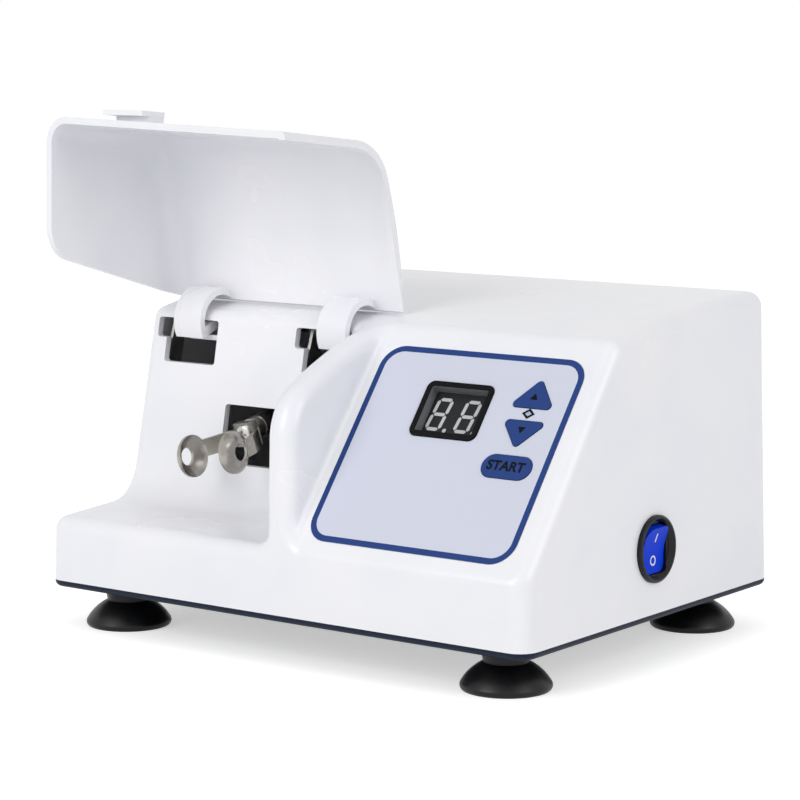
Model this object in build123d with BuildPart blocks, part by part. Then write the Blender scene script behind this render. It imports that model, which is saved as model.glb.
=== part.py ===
from build123d import *
from math import atan2, cos, degrees, radians, sin, tan
import os

os.makedirs("parts", exist_ok=True)

# A dental amalgamator, in millimetres: +X to the right, +Y to the back, +Z up.
# The origin is on the bench, midway between the four feet.

# ---- Driving dimensions: casing -------------------------------------------------
body_length = 205.2  # left to right at the seam
body_depth = 157.0  # front to back at the seam
seam_height = 17.0  # the casing meets the base this far above the bench
top_height = 120.0
side_draft = 1.2  # degrees
casing_wall = 2.6
corner_front_left = 5.6
corner_front_right = 7.0
corner_back = 5.6
edge_round = 5.4
chamber_corner = 4.6
slope_corner = 3.4

# ---- Front of the casing: sill, ear and crest -----------------------------------
sill_height = 39.3  # foot of the sloping panel
crest_height = 110.0  # head of the sloping panel
crest_setback = 55.8
shoulder_start = 76.0  # the ear stops being upright here
shoulder_end = 94.3
shoulder_depth = 11.2
crown_setback = 68.5  # where the crown flattens, from the front
crown_height = 112.9
chamber_width = 98.4
ear_thickness = 11.8

# ---- Mixing chamber -------------------------------------------------------------
tray_height = 39.7
tray_rise = 0.064  # the tray climbs this much per millimetre
cove_radius = 14.0
wall_lean = 11.0  # degrees
wall_setback = 43.9  # at wall_level
wall_level = 58.2
arm_opening_width = 24.0
arm_opening_shift = -1.0  # from the middle of the skewed journal
arm_opening_low = 57.4
arm_opening_high = 78.3
opening_round = 1.2

# ---- Lid and its hinge ----------------------------------------------------------
open_angle = 95.2  # degrees from closed to the open rest pose
hinge_setback = 61.2
hinge_height = 106.4
rod_radius = 1.5
rod_running_gap = 0.06
hub_radius = 2.8
hub_relief = 3.3
strap_inner = 9.5
strap_outer = 12.0
strap_start = 52.0  # degrees, in the open pose
strap_end = 208.0
web_thickness = 3.4
hinge_arm_width = 12.7
left_arm_inset = 6.0  # from the left edge of its opening
right_arm_inset = 7.8
left_opening_width = 23.9
right_opening_width = 21.2
hinge_opening_low = 91.3
hinge_opening_high = 107.2
left_opening_inset = 11.4  # from the casing's left face at the seam
right_opening_gap = 1.6  # from the ear to the right opening
notch_width = 4.4
notch_low = 100.0
clip_thickness = 0.6
clip_radius = 2.9
bracket_thickness = 1.2
bracket_low = 79.0
bracket_high = 90.0
bracket_foot = 7.0
bracket_ear_radius = 3.0
bracket_screw_radius = 1.2
bracket_screw_head = 2.4
bracket_screw_bite = 1.8
ear_offset = 0.4
clip_offset = 2.5
clip_groove_radius = 1.1
rod_overhang = 1.6
lid_wall = 2.4
lid_overhang = 5.4  # front of the lid before the casing, at its right end
lid_skew = 3.1  # the left end stands this much further forward
lid_reach_over_ear = 10.0
lid_side_inset = 1.4
lid_upright_height = 82.0
lid_nose_depth = 11.3
lid_nose_height = 99.3
lid_rear_setback = 53.3
lid_rear_height = 113.2
lid_end_round = 9.0
lid_ear_round = 2.6
lid_gap = 0.9
lid_lean = 0.6
ear_gap_front = 3.2
ear_gap_nose = 2.9
ear_gap_rear = 1.8
tab_width = 18.1
tab_stem_width = 14.7
tab_thickness = 1.8
tab_standoff = 1.7
tab_height = 11.5
tab_inset = 26.9  # from the left end of the lid
tab_stem_shift = 3.2
tab_drop = 3.6
tab_low = 39.5
magnet_radius = 1.1
magnet_length = 6.0
magnet_reach = 6.2  # from the rod
lug_y = -4.4
lug_drop = 5.7
lug_depth = 2.6
lug_height = 1.8
lug_stem = 4.2
lug_margin = 2.4
lug_gap = 0.7  # from the right edge of the opening
sensor_width = 3.0
sensor_depth = 5.4
sensor_height = 6.4
sensor_y = -1.4  # from the rod
sensor_drop = 7.4
lead_radius = 0.35
lead_length = 4.0

# ---- Panel on the slope ---------------------------------------------------------
overlay_width = 82.5
overlay_height = 77.0
overlay_inset = 3.2  # from the ear
overlay_foot = 5.5
overlay_corner = 8.5
overlay_thickness = 0.6
overlay_sink = 0.5
window_width = 27.0
window_height = 21.3
window_corner = 2.8
window_inset = 26.7  # from the ear
window_foot = 48.5
window_proud = 0.6
window_flange = 1.4
bezel_width = 1.9
fit_gap = 0.2
key_inset = 70.1  # middle of the keys, from the ear
key_window_margin = 2.2
arrow_width = 17.7
up_key_foot = 63.0
up_key_height = 11.2
down_key_foot = 47.7
down_key_height = 10.5
key_corner = 1.4
start_width = 19.3
start_height = 8.7
start_foot = 36.2
key_proud = 0.5
key_travel = 0.4
key_depth = 2.4
stem_radius = 1.6
led_foot = 60.7
led_width = 3.8
led_height = 2.7
board_depth = 11.5
board_thickness = 1.6
board_inset = 3.6  # from the ear
board_width = 86.0
board_margin = 4.2
board_post_radius = 3.0
board_screw_radius = 1.25
board_screw_length = 6.0
switch_side = 6.0
switch_height = 3.6
plunger_radius = 1.7
plunger_height = 1.4
flange_thickness = 1.0
key_flange = 0.8
key_slack = 0.05
module_width = 25.4
module_height = 19.0
module_rim = 2.4
chip_length = 18.0
chip_width = 10.0
chip_height = 2.0

# ---- Power switch on the right side ---------------------------------------------
rocker_setback = 77.9
rocker_height = 39.2
bezel_radius = 11.5
bezel_proud = 1.8
switch_body_radius = 10.4
switch_depth = 19.0
paddle_width = 13.6
paddle_height = 16.0
paddle_gap = 0.35
paddle_depth = 6.5
pivot_depth = 2.0
pivot_radius = 1.2
paddle_corner = 3.6
paddle_lift = 1.0  # ends of the paddle stand this far out
paddle_sag = 0.5
pivot_length = 1.6
well_depth = 8.6
dish_taper = 35.0  # degrees
snap_reach = 0.8
snap_width = 5.0
snap_length = 5.0
rocker_throw = 18.0  # degrees between off and on

# ---- Base and feet --------------------------------------------------------------
base_thickness = 2.5
base_round = 2.2
tongue_height = 4.0
tongue_width = 1.8
foot_spread_x = 164.0
foot_spread_y = 118.0
foot_rim_radius = 15.2
foot_face_radius = 14.6
foot_dish_radius = 12.4
foot_dish_height = 3.0
foot_neck_radius = 8.6
foot_waist_radius = 7.6
foot_waist_height = 9.1
foot_screw_radius = 2.0
foot_screw_depth = 8.0
screw_clearance = 0.2
post_radius = 4.5
post_height = 22.0
post_inset = 6.4
post_spread_y = 72.0
casing_screw_radius = 1.5
vent_length = 26.0
vent_width = 2.6
vent_pitch = 6.0
vent_count = 8
vent_x = 34.0
vent_y = -48.0
foot_seat_radius = 8.0
foot_seat_height = 2.0
foot_rim_height = 2.4
foot_skirt_middle = (12.6, 5.4)
foot_skirt_top = (8.4, 8.6)
screw_head_radius = 3.4
screw_head_height = 1.5
screw_crown = 0.45  # share of the head that is upright
screw_tip = 0.4
screw_shoulder = 0.6
slot_width = 0.8
slot_share = 1.1
slot_depth_share = 0.4

# ---- Drive ----------------------------------------------------------------------
shaft_height = 78.0
shaft_setback = 78.8
shaft_radius = 4.0
shaft_running_gap = 0.06
skew_angle = 9.0  # degrees
skew_station = 55.9  # centre of the skewed journal, from the left face
journal_radius = 6.0
journal_length = 9.0
shaft_overrun = 8.6  # past the middle of the journal
collar_radius = 7.6
collar_thickness = 1.6
sleeve_hub = 12.0  # end of the straight hub from the middle of the journal
sleeve_hub_radius = 8.0
set_screw_radius = 1.5
set_screw_station = 8.8
set_socket_depth = 1.6
motor_radius = 20.0
motor_length = 64.0
motor_station = 104.6  # front of the motor, from the left face
motor_plate = 3.0
motor_plate_width = 50.0
motor_foot_depth = 30.0
motor_foot_margin = 6.0
bush_radius = 4.5
bush_height = 5.0
motor_screw_radius = 1.6
motor_bore_depth = 46.0
motor_pilot_radius = 7.0
motor_face_pitch = 13.5  # radius of the circle of face screws
motor_cap_length = 9.0
motor_groove = 0.8
motor_tail_radius = 9.0
motor_tail_length = 5.0
gusset_length = 22.0
gusset_height = 31.0
gusset_thickness = 2.0
nut_radius = 3.2
nut_height = 2.6
thread_past_nut = 1.0
bearing_outer_radius = 14.0
bearing_pitch_radius = 10.0
ball_radius = 2.38
ball_count = 8
race_gap = 0.06
race_land = 1.8  # half the gap between the two rings
bearing_width = 8.0
hub_wall = 3.0
boss_radius = 4.25
boss_reach = 35.6
boss_pitch = 13.0  # degrees that the arm falls towards the front
cup_radius = 7.5
cup_wall = 1.1
cup_dish = 2.4
cup_hole_radius = 3.2
cup_spread = 23.8
cup_reach = 54.8
cup_drop = 1.6
cup_shift = -2.6
prong_width = 6.2
prong_thickness = 1.5
clip_screw_radius = 1.5
clip_screw_head = 3.1
clip_screw_reach = 12.0
prong_root = 8.0  # height of the root tab of the clip's prongs
prong_bend = 2.0
prong_shoulder = 1.0  # the root runs on this far past the boss before the prong spreads
boss_groove = 0.5
boss_groove_width = 1.0
boss_groove_stations = (21.5, 30.5)
lug_radius = 3.2
lug_reach = 23.0
lug_hole_radius = 1.2
spring_radius = 3.4
spring_wire = 0.9
spring_turns = 14
spring_gap = 1.4
coil_overlap = 0.56  # share of the pitch, so that neighbouring coils touch
anchor_height = 3.0
anchor_rim = 1.2

# ---- Mains side -----------------------------------------------------------------
inlet_station = 54.0  # from the right face
inlet_height = 45.0
inlet_width = 27.2
inlet_tall = 19.6
inlet_flange_width = 48.0
inlet_flange_tall = 23.0
inlet_flange_thickness = 2.6
inlet_depth = 24.0
inlet_cavity_depth = 16.5
inlet_wall = 1.6
inlet_screw_spread = 40.0
inlet_screw_radius = 1.5
inlet_key_corner = 4.2
pin_width = 2.0
pin_tall = 4.0
pin_length = 12.0
pin_spread = 7.0
pin_drop = 2.0
tab_blade = 0.8
tab_blade_width = 4.8
tab_blade_length = 8.0
fuse_station = 92.0
fuse_holder_radius = 6.2
fuse_flange_radius = 8.5
fuse_cap_radius = 5.2
fuse_cap_proud = 5.0
fuse_holder_depth = 30.0
fuse_radius = 2.6
fuse_length = 20.0
fuse_end = 5.0
fuse_flange_thickness = 2.0
fuse_plug_depth = 7.0
fuse_socket = 4.0
fuse_head_radius = 6.4
grip_radius = 0.7
grip_count = 12
supply_width = 74.0
supply_depth = 44.0
supply_x = -30.0
supply_y = 48.5
supply_post_height = 6.0
supply_margin = 4.0
core_length = 28.0
core_width = 24.0
core_height = 23.0
core_rim = 2.0
capacitor_radius = 6.0
capacitor_height = 18.0

# ---- Places worked out from the dimensions --------------------------------------
left_x = -body_length / 2
right_x = body_length / 2
front_y = -body_depth / 2
back_y = body_depth / 2
draft_tangent = tan(radians(side_draft))
wall_tangent = tan(radians(wall_lean))
ear_left = left_x + chamber_width
ear_right = ear_left + ear_thickness
hinge_y = front_y + hinge_setback
crest_y = front_y + crest_setback


def front_at(z):
    """Front face of the casing at height z."""
    return front_y + (z - seam_height) * draft_tangent


def back_at(z):
    """Back face of the casing at height z."""
    return back_y - (z - seam_height) * draft_tangent


def right_at(z):
    """Right face of the casing at height z."""
    return right_x - (z - seam_height) * draft_tangent


def wall_at(z):
    """Front surface of the chamber's back wall at height z."""
    return front_y + wall_setback + (z - wall_level) * wall_tangent


def tray_at(y):
    """Height of the chamber's tray at y."""
    return tray_height + (y - front_y) * tray_rise


slope_foot = (front_at(sill_height), sill_height)
slope_head = (crest_y, crest_height)
slope_angle = atan2(crest_height - sill_height, crest_y - slope_foot[0])
slope_length = (crest_height - sill_height) / sin(slope_angle)
panel = Plane(
    origin=(ear_right, slope_foot[0], slope_foot[1]),
    x_dir=(1, 0, 0),
    z_dir=(0, -sin(slope_angle), cos(slope_angle)),
)
panel_axis = Axis((0, 0, 0), (0, -sin(slope_angle), cos(slope_angle)))


def edges_near(shape, points):
    """The edge of the shape that lies nearest to each point."""
    return [shape.edges().sort_by_distance(Vector(*point))[0] for point in points]


def chamber_outline(gap, reach):
    """Tray, cove and back wall as one open path, moved into the chamber by gap."""
    lift = gap / cos(radians(wall_lean))
    corner_z = (tray_at(wall_at(0) - lift) + gap) / (1 - tray_rise * wall_tangent)
    corner = (wall_at(corner_z) - lift, corner_z)
    tray_front = (front_y - reach, tray_at(front_y - reach) + gap)
    wall_top = (wall_at(top_height + reach) - lift, top_height + reach)
    return FilletPolyline(tray_front, corner, wall_top, radius=cove_radius - gap)


crown_points = [
    (front_at(shoulder_start), shoulder_start),
    (front_at(shoulder_start) + shoulder_depth, shoulder_end),
    (front_y + crown_setback, crown_height),
    (back_at(top_height), top_height),
]
crown_angles = [90 - side_draft]  # direction of the path at each point, in degrees
for before, after in zip(crown_points, crown_points[1:]):
    chord_angle = degrees(atan2(after[1] - before[1], after[0] - before[0]))
    crown_angles.append(2 * chord_angle - crown_angles[-1])


def inset_point(point, angle, inset):
    """The point moved inwards by inset, square to a path that passes it at angle."""
    return (point[0] + inset * sin(radians(angle)), point[1] - inset * cos(radians(angle)))


def casing_form(inset):
    """The casing as one block, or, inset by the wall, the room inside it."""
    below = seam_height - (2 * tongue_height if inset else 0)
    low = seam_height - 3 * tongue_height
    high = top_height + casing_wall
    reach = 2 * casing_wall + 20
    with BuildPart() as form:
        with BuildSketch(Plane.YZ.offset(-body_length)):
            with BuildLine():
                start = inset_point((front_at(low), low), 90 - side_draft, inset)
                path = Line(start, inset_point(crown_points[0], crown_angles[0], inset))
                for point, angle in zip(crown_points[1:], crown_angles[1:]):
                    path = TangentArc(path @ 1, inset_point(point, angle, inset), tangent=path % 1)
                tail = Line(path @ 1, path @ 1 + (path % 1) * reach)
                Polyline(tail @ 1, ((tail @ 1).X, low), start)
            make_face()
        extrude(amount=2 * body_length)
        with BuildSketch(Plane.YZ.offset(-body_length)):
            with BuildLine():
                Polyline(
                    (back_at(low - 1) - inset, low - 1),
                    (back_at(high + reach) - inset, high + reach),
                    (back_y + 2 * reach, high + reach),
                    (back_y + 2 * reach, low - 1),
                    close=True,
                )
            make_face()
        extrude(amount=2 * body_length, mode=Mode.SUBTRACT)
        with BuildSketch(Plane.XZ.offset(-body_depth)):
            with BuildLine():
                foot = right_at(below) - inset
                head = right_at(high) - inset
                Polyline((-foot, below), (foot, below), (head, high), (-head, high), close=True)
            make_face()
        extrude(amount=2 * body_depth, mode=Mode.INTERSECT)
        with BuildSketch(Plane.YZ.offset(ear_left + inset)):
            with BuildLine():
                tray = chamber_outline(-inset, reach)
                Polyline(tray @ 1, ((tray @ 0).X, (tray @ 1).Y), tray @ 0)
            make_face()
        extrude(amount=-body_length, mode=Mode.SUBTRACT)
        sunk = panel.origin - panel.z_dir * inset
        with BuildSketch(Plane.YZ.offset(ear_right - inset)):
            with BuildLine():
                start = (sunk.Y - reach * cos(slope_angle), sunk.Z - reach * sin(slope_angle))
                run = slope_length + reach
                end = (sunk.Y + run * cos(slope_angle), sunk.Z + run * sin(slope_angle))
                Polyline(start, end, (start[0], end[1]), close=True)
            make_face()
        extrude(amount=2 * body_length, mode=Mode.SUBTRACT)
        ear_side = ear_left + inset
        fillet(
            edges_near(
                form,
                [
                    (ear_side, front_y + cove_radius, tray_height - inset),
                    (ear_side, wall_at(seam_height) - inset, tray_height + cove_radius / 3 - inset),
                    (ear_side, wall_at(wall_level + cove_radius) + inset, wall_level + cove_radius),
                ],
            ),
            radius=chamber_corner + inset,
        )
        middle = panel.from_local_coords((-inset, slope_length / 2, -inset))
        fillet(edges_near(form, [middle]), radius=slope_corner + inset)
        low_level = seam_height + tongue_height
        corners = {
            (-right_at(low_level) + inset, front_at(low_level) + inset): corner_front_left,
            (right_at(low_level) - inset, front_at(low_level) + inset): corner_front_right,
            (right_at(low_level) - inset, back_at(low_level) - inset): corner_back,
            (-right_at(low_level) + inset, back_at(low_level) - inset): corner_back,
        }
        for (x, y), radius in corners.items():
            fillet(edges_near(form, [(x, y, low_level)]), radius=radius - inset)
        panel_middle = (ear_right + right_x) / 2
        chamber_middle = (left_x + ear_left) / 2
        level = wall_level + cove_radius
        crown_level = (crest_height + top_height) / 2
        fillet(
            edges_near(
                form,
                [
                    (panel_middle, slope_foot[0] + inset, sill_height - inset),
                    (panel_middle, crest_y + inset, crest_height - inset),
                    (
                        right_at(level) - inset,
                        slope_foot[0] + (level - sill_height) / tan(slope_angle),
                        level,
                    ),
                    (chamber_middle, front_at(tray_height) + inset, tray_height - inset),
                    (chamber_middle, wall_at(crest_height) + inset, crest_height - inset),
                    (-right_at(level) + inset, wall_at(level) + inset, level),
                    (right_at(crown_level) - inset, (crest_y + back_y) / 2, crown_level - inset),
                    (-right_at(crown_level) + inset, (crest_y + back_y) / 2, crown_level - inset),
                    (0, back_at(top_height) - inset, top_height - inset),
                ],
            ),
            radius=edge_round - inset,
        )
    return form.part


# ---- Planes that several pieces share -------------------------------------------
hinge_axis = Axis((0, hinge_y, hinge_height), (1, 0, 0))
base_floor = seam_height - base_thickness  # underside of the base
left_opening_x = left_x + left_opening_inset
right_opening_x = ear_left - right_opening_gap - right_opening_width
hinge_openings = [  # left edge, width and arm of each opening
    (left_opening_x, left_opening_width, left_opening_x + left_arm_inset),
    (right_opening_x, right_opening_width, right_opening_x + right_arm_inset),
]
board_posts = [
    (board_inset + dx, overlay_foot + dy)
    for dx in (board_margin, board_width - board_margin)
    for dy in (board_margin, overlay_height - board_margin)
]
foot_points = [
    (sx * foot_spread_x / 2, sy * foot_spread_y / 2) for sx in (-1, 1) for sy in (-1, 1)
]
post_points = [
    (sx * (right_x - post_inset), sy * post_spread_y / 2) for sx in (-1, 1) for sy in (-1, 1)
]
rocker_origin = (right_at(rocker_height), front_y + rocker_setback, rocker_height)
rocker_plane = Plane(
    origin=rocker_origin,
    x_dir=(0, 1, 0),
    z_dir=(cos(radians(side_draft)), 0, sin(radians(side_draft))),
)
inlet_plane = Plane(
    origin=(right_x - inlet_station, back_at(inlet_height), inlet_height),
    x_dir=(-1, 0, 0),
    z_dir=(0, cos(radians(side_draft)), sin(radians(side_draft))),
)
fuse_plane = Plane(
    origin=(right_x - fuse_station, back_at(inlet_height), inlet_height),
    x_dir=(-1, 0, 0),
    z_dir=(0, cos(radians(side_draft)), sin(radians(side_draft))),
)
shaft_y = front_y + shaft_setback
skew_x = left_x + skew_station
motor_x = left_x + motor_station
arm_opening_x = skew_x + arm_opening_shift
motor_feet = [
    (motor_x + dx, shaft_y + sy * (motor_plate_width / 2 - bush_radius - 1))
    for dx in (motor_foot_margin, motor_foot_depth - motor_foot_margin)
    for sy in (-1, 1)
]
supply_posts = [
    (
        supply_x + sx * (supply_width / 2 - supply_margin),
        supply_y + sy * (supply_depth / 2 - supply_margin),
    )
    for sx in (-1, 1)
    for sy in (-1, 1)
]


def panel_plane(depth):
    """The panel's plane, sunk by depth; x from the ear, y up the slope."""
    return Plane(origin=panel.origin - panel.z_dir * depth, x_dir=panel.x_dir, z_dir=panel.z_dir)


def arrow_points(foot, height, up):
    """Corners of a triangular key."""
    base_y = foot if up else foot + height
    tip_y = foot + height if up else foot
    return [
        (key_inset - arrow_width / 2, base_y),
        (key_inset + arrow_width / 2, base_y),
        (key_inset, tip_y),
    ]


def arrow_sketch(foot, height, up, grow):
    """A triangle with rounded corners, larger all round by grow."""
    with BuildSketch() as arrow:
        with BuildLine():
            Polyline(*arrow_points(foot, height, up), close=True)
        make_face()
        fillet(arrow.vertices(), radius=key_corner)
        if grow:
            offset(amount=grow)
    return arrow.sketch


def window_sketch(grow):
    """The display window's outline, larger all round by grow."""
    with BuildSketch() as window:
        with Locations((window_inset + window_width / 2, window_foot + window_height / 2)):
            RectangleRounded(
                window_width + 2 * grow, window_height + 2 * grow, window_corner + grow
            )
    return window.sketch


def start_sketch(grow):
    """The start key's outline, larger all round by grow."""
    with BuildSketch() as pill:
        with Locations((key_inset, start_foot + start_height / 2)):
            SlotOverall(start_width + 2 * grow, start_height + 2 * grow)
    return pill.sketch


def led_sketch(grow):
    """The lamp's diamond outline, larger all round by grow."""
    with BuildSketch() as diamond:
        with BuildLine():
            Polyline(
                (key_inset - led_width / 2, led_foot),
                (key_inset, led_foot - led_height / 2),
                (key_inset + led_width / 2, led_foot),
                (key_inset, led_foot + led_height / 2),
                close=True,
            )
        make_face()
        if grow:
            offset(amount=grow, kind=Kind.INTERSECTION)
    return diamond.sketch


def wall_inside(z):
    """Rear surface of the chamber wall at height z."""
    return wall_at(z) + casing_wall / cos(radians(wall_lean))


bracket_middle = (bracket_low + bracket_high) / 2
screw_planes = [
    Plane(
        origin=(start + width / 2, wall_inside(bracket_middle), bracket_middle),
        x_dir=(1, 0, 0),
        z_dir=(0, cos(radians(wall_lean)), -sin(radians(wall_lean))),
    )
    for start, width, _ in hinge_openings
]

# ---- Casing ---------------------------------------------------------------------
casing_outside = casing_form(0)
casing_inside = casing_form(casing_wall)
overlay_centre = (overlay_inset + overlay_width / 2, overlay_foot + overlay_height / 2)
key_window_low = start_foot + start_height + key_window_margin
key_window_high = up_key_foot + up_key_height + key_window_margin
key_window_width = arrow_width + 2 * key_window_margin
with BuildPart() as casing_posts:
    with BuildSketch(Plane.XY.offset(seam_height)):
        with Locations(*post_points):
            Circle(post_radius)
    extrude(amount=post_height)
    with BuildSketch(panel_plane(casing_wall / 2)):
        with Locations(*board_posts):
            Circle(board_post_radius)
    extrude(amount=casing_wall / 2 - board_depth)

window_hole = window_sketch(fit_gap)
start_hole = start_sketch(fit_gap)
with BuildPart() as casing:
    add(casing_outside)
    add(casing_inside, mode=Mode.SUBTRACT)
    add(casing_posts.part & casing_outside)
    # blind holes for the screws from below and behind the board
    with BuildSketch(Plane.XY.offset(seam_height)):
        with Locations(*post_points):
            Circle(casing_screw_radius + screw_clearance / 2)
    extrude(amount=post_height - casing_wall, mode=Mode.SUBTRACT)
    with BuildSketch(panel_plane(board_depth)):
        with Locations(*board_posts):
            Circle(board_screw_radius + screw_clearance / 2)
    extrude(amount=board_screw_length, mode=Mode.SUBTRACT)
    # openings for the two hinge arms, each with a notch for the clip on the rod
    for start, width, _ in hinge_openings:
        middle = start + width / 2
        with BuildSketch(Plane.XZ.offset(-hinge_y)):
            with Locations((middle, (hinge_opening_low + hinge_opening_high) / 2)):
                RectangleRounded(width, hinge_opening_high - hinge_opening_low, opening_round)
            with Locations((start, (notch_low + hinge_opening_high) / 2)):
                RectangleRounded(2 * notch_width, hinge_opening_high - notch_low, opening_round)
        extrude(amount=hinge_setback, mode=Mode.SUBTRACT)
        # the casing is thinner over the rod, so that the hubs clear it
        with BuildSketch(Plane.YZ.offset(start - notch_width)):
            with Locations((hinge_y, hinge_height)):
                Circle(hub_relief)
        extrude(amount=width + 2 * notch_width, mode=Mode.SUBTRACT)
    # blind holes in the back of the chamber wall for the bracket screws
    for plane in screw_planes:
        with BuildSketch(plane):
            Circle(bracket_screw_radius + screw_clearance / 2)
        extrude(amount=-bracket_screw_bite - screw_clearance, mode=Mode.SUBTRACT)
    # opening for the swinging arm
    with BuildSketch(Plane.XZ.offset(-shaft_y)):
        with Locations((arm_opening_x, (arm_opening_low + arm_opening_high) / 2)):
            RectangleRounded(arm_opening_width, arm_opening_high - arm_opening_low, opening_round)
    extrude(amount=shaft_setback, mode=Mode.SUBTRACT)
    # seat for the overlay, and what shows through it
    with BuildSketch(panel_plane(overlay_sink)):
        with Locations(overlay_centre):
            RectangleRounded(
                overlay_width + fit_gap, overlay_height + fit_gap, overlay_corner + fit_gap / 2
            )
    extrude(amount=casing_wall, mode=Mode.SUBTRACT)
    with BuildSketch(panel_plane(0)):
        add(window_hole)
        add(start_hole)
        with Locations((key_inset, (key_window_low + key_window_high) / 2)):
            RectangleRounded(key_window_width, key_window_high - key_window_low, key_corner)
    extrude(amount=-2 * casing_wall, mode=Mode.SUBTRACT)
    # power switch, mains inlet and fuse holder
    with BuildSketch(rocker_plane.offset(-2 * casing_wall)):
        Circle(switch_body_radius + fit_gap)
    extrude(amount=3 * casing_wall, mode=Mode.SUBTRACT)
    with BuildSketch(inlet_plane.offset(-2 * casing_wall)):
        RectangleRounded(
            inlet_width + 2 * fit_gap,
            inlet_tall + 2 * fit_gap,
            opening_round,
        )
        with GridLocations(inlet_screw_spread, 1, 2, 1):
            Circle(inlet_screw_radius + screw_clearance)
    extrude(amount=3 * casing_wall, mode=Mode.SUBTRACT)
    with BuildSketch(fuse_plane.offset(-2 * casing_wall)):
        Circle(fuse_holder_radius + fit_gap)
    extrude(amount=3 * casing_wall, mode=Mode.SUBTRACT)
casing.part.label = "casing"
export_step(casing.part, "parts/casing.step")


# ---- Base: floor, tongue inside the casing, seats and vents ----------------------
with BuildPart() as base_plate:
    with BuildSketch(Plane.XY.offset(base_floor)) as base_outline:
        Rectangle(body_length, body_depth)
        corner_radii = [corner_front_left, corner_front_right, corner_back, corner_back]
        corner_signs = [(-1, -1), (1, -1), (1, 1), (-1, 1)]
        for (sx, sy), radius in zip(corner_signs, corner_radii):
            corner = (sx * body_length / 2, sy * body_depth / 2, base_floor)
            fillet(base_outline.vertices().sort_by_distance(Vector(*corner))[0], radius=radius)
    extrude(amount=base_thickness)
    fillet(base_plate.faces().sort_by(Axis.Z)[0].edges(), radius=base_round)
    tongue_inset = casing_wall + fit_gap
    with BuildSketch(Plane.XY.offset(seam_height)):
        RectangleRounded(
            body_length - 2 * tongue_inset, body_depth - 2 * tongue_inset, corner_back - tongue_inset
        )
        RectangleRounded(
            body_length - 2 * tongue_inset - 2 * tongue_width,
            body_depth - 2 * tongue_inset - 2 * tongue_width,
            corner_back - tongue_inset - tongue_width,
            mode=Mode.SUBTRACT,
        )
        # the tongue stops short of the casing's screw posts
        with Locations(*post_points):
            Circle(post_radius + fit_gap, mode=Mode.SUBTRACT)
    extrude(amount=tongue_height)
    # thick seats under the heads of the foot screws
    with BuildSketch(Plane.XY.offset(seam_height)):
        with Locations(*foot_points):
            Circle(foot_seat_radius)
    extrude(amount=foot_seat_height)
    with Locations(*[(x, y, seam_height + foot_seat_height) for x, y in foot_points]):
        Hole(foot_screw_radius + screw_clearance)
    with BuildSketch(Plane.XY.offset(base_floor)):
        with Locations(*post_points):
            Circle(casing_screw_radius + screw_clearance)
        with Locations((vent_x, vent_y)):
            with GridLocations(vent_pitch, 1, vent_count, 1):
                SlotOverall(vent_length, vent_width, rotation=90)
        with Locations(*motor_feet):
            Circle(motor_screw_radius + screw_clearance)
    extrude(amount=base_thickness, mode=Mode.SUBTRACT)
    with BuildSketch(Plane.XY.offset(base_floor)):
        with Locations(*post_points):
            Circle(screw_head_radius + fit_gap)
    extrude(amount=screw_head_height, mode=Mode.SUBTRACT)
    # pillars for the supply board
    with BuildSketch(Plane.XY.offset(seam_height)):
        with Locations(*supply_posts):
            Circle(board_post_radius)
            Circle(board_screw_radius + screw_clearance / 2, mode=Mode.SUBTRACT)
    extrude(amount=supply_post_height)
base_plate.part.label = "base_plate"
export_step(base_plate.part, "parts/base_plate.step")

# ---- Suction feet: a hollow flared skirt under a waisted neck --------------------
foot_names = ["front_left", "back_left", "front_right", "back_right"]
for name, (foot_x, foot_y) in zip(foot_names, foot_points):
    with BuildPart() as foot:
        with BuildSketch(Plane(origin=(foot_x, foot_y, 0), x_dir=(1, 0, 0), z_dir=(0, -1, 0))):
            with BuildLine():
                dish = ThreePointArc(
                    (0, foot_dish_height),
                    (foot_dish_radius * 0.62, foot_dish_height * 0.72),
                    (foot_dish_radius, 0),
                )
                face = Line(dish @ 1, (foot_face_radius, 0))
                rim = ThreePointArc(
                    face @ 1,
                    (foot_rim_radius, foot_rim_height / 2),
                    (foot_rim_radius - 0.3, foot_rim_height),
                )
                skirt = ThreePointArc(rim @ 1, foot_skirt_middle, foot_skirt_top)
                waist = Line(skirt @ 1, (foot_waist_radius, foot_waist_height))
                neck = Line(waist @ 1, (foot_neck_radius, base_floor))
                Polyline(neck @ 1, (0, base_floor), dish @ 0)
            make_face()
        revolve(axis=Axis((foot_x, foot_y, 0), (0, 0, 1)))
        with BuildSketch(Plane.XY.offset(base_floor)):
            with Locations((foot_x, foot_y)):
                Circle(foot_screw_radius + screw_clearance / 4)
        extrude(amount=-foot_screw_depth, mode=Mode.SUBTRACT)
    foot.part.label = f"suction_foot_{name}"
    export_step(foot.part, f"parts/suction_foot_{name}.step")


def screw_profile(head_radius, head_height, shank_radius, shank_length):
    """Half section of a pan-head screw, its head above the seat at height zero."""
    with BuildSketch() as half:
        with BuildLine():
            crown = head_height * screw_crown
            Polyline(
                (0, head_height),
                (0, -shank_length),
                (shank_radius * screw_tip, -shank_length),
                (shank_radius, -shank_length + shank_radius * screw_tip),
                (shank_radius, 0),
                (head_radius, 0),
                (head_radius, crown),
            )
            ThreePointArc(
                (head_radius, crown),
                (head_radius * screw_shoulder, head_height - crown * screw_tip),
                (0, head_height),
            )
        make_face()
    return half.sketch


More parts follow.
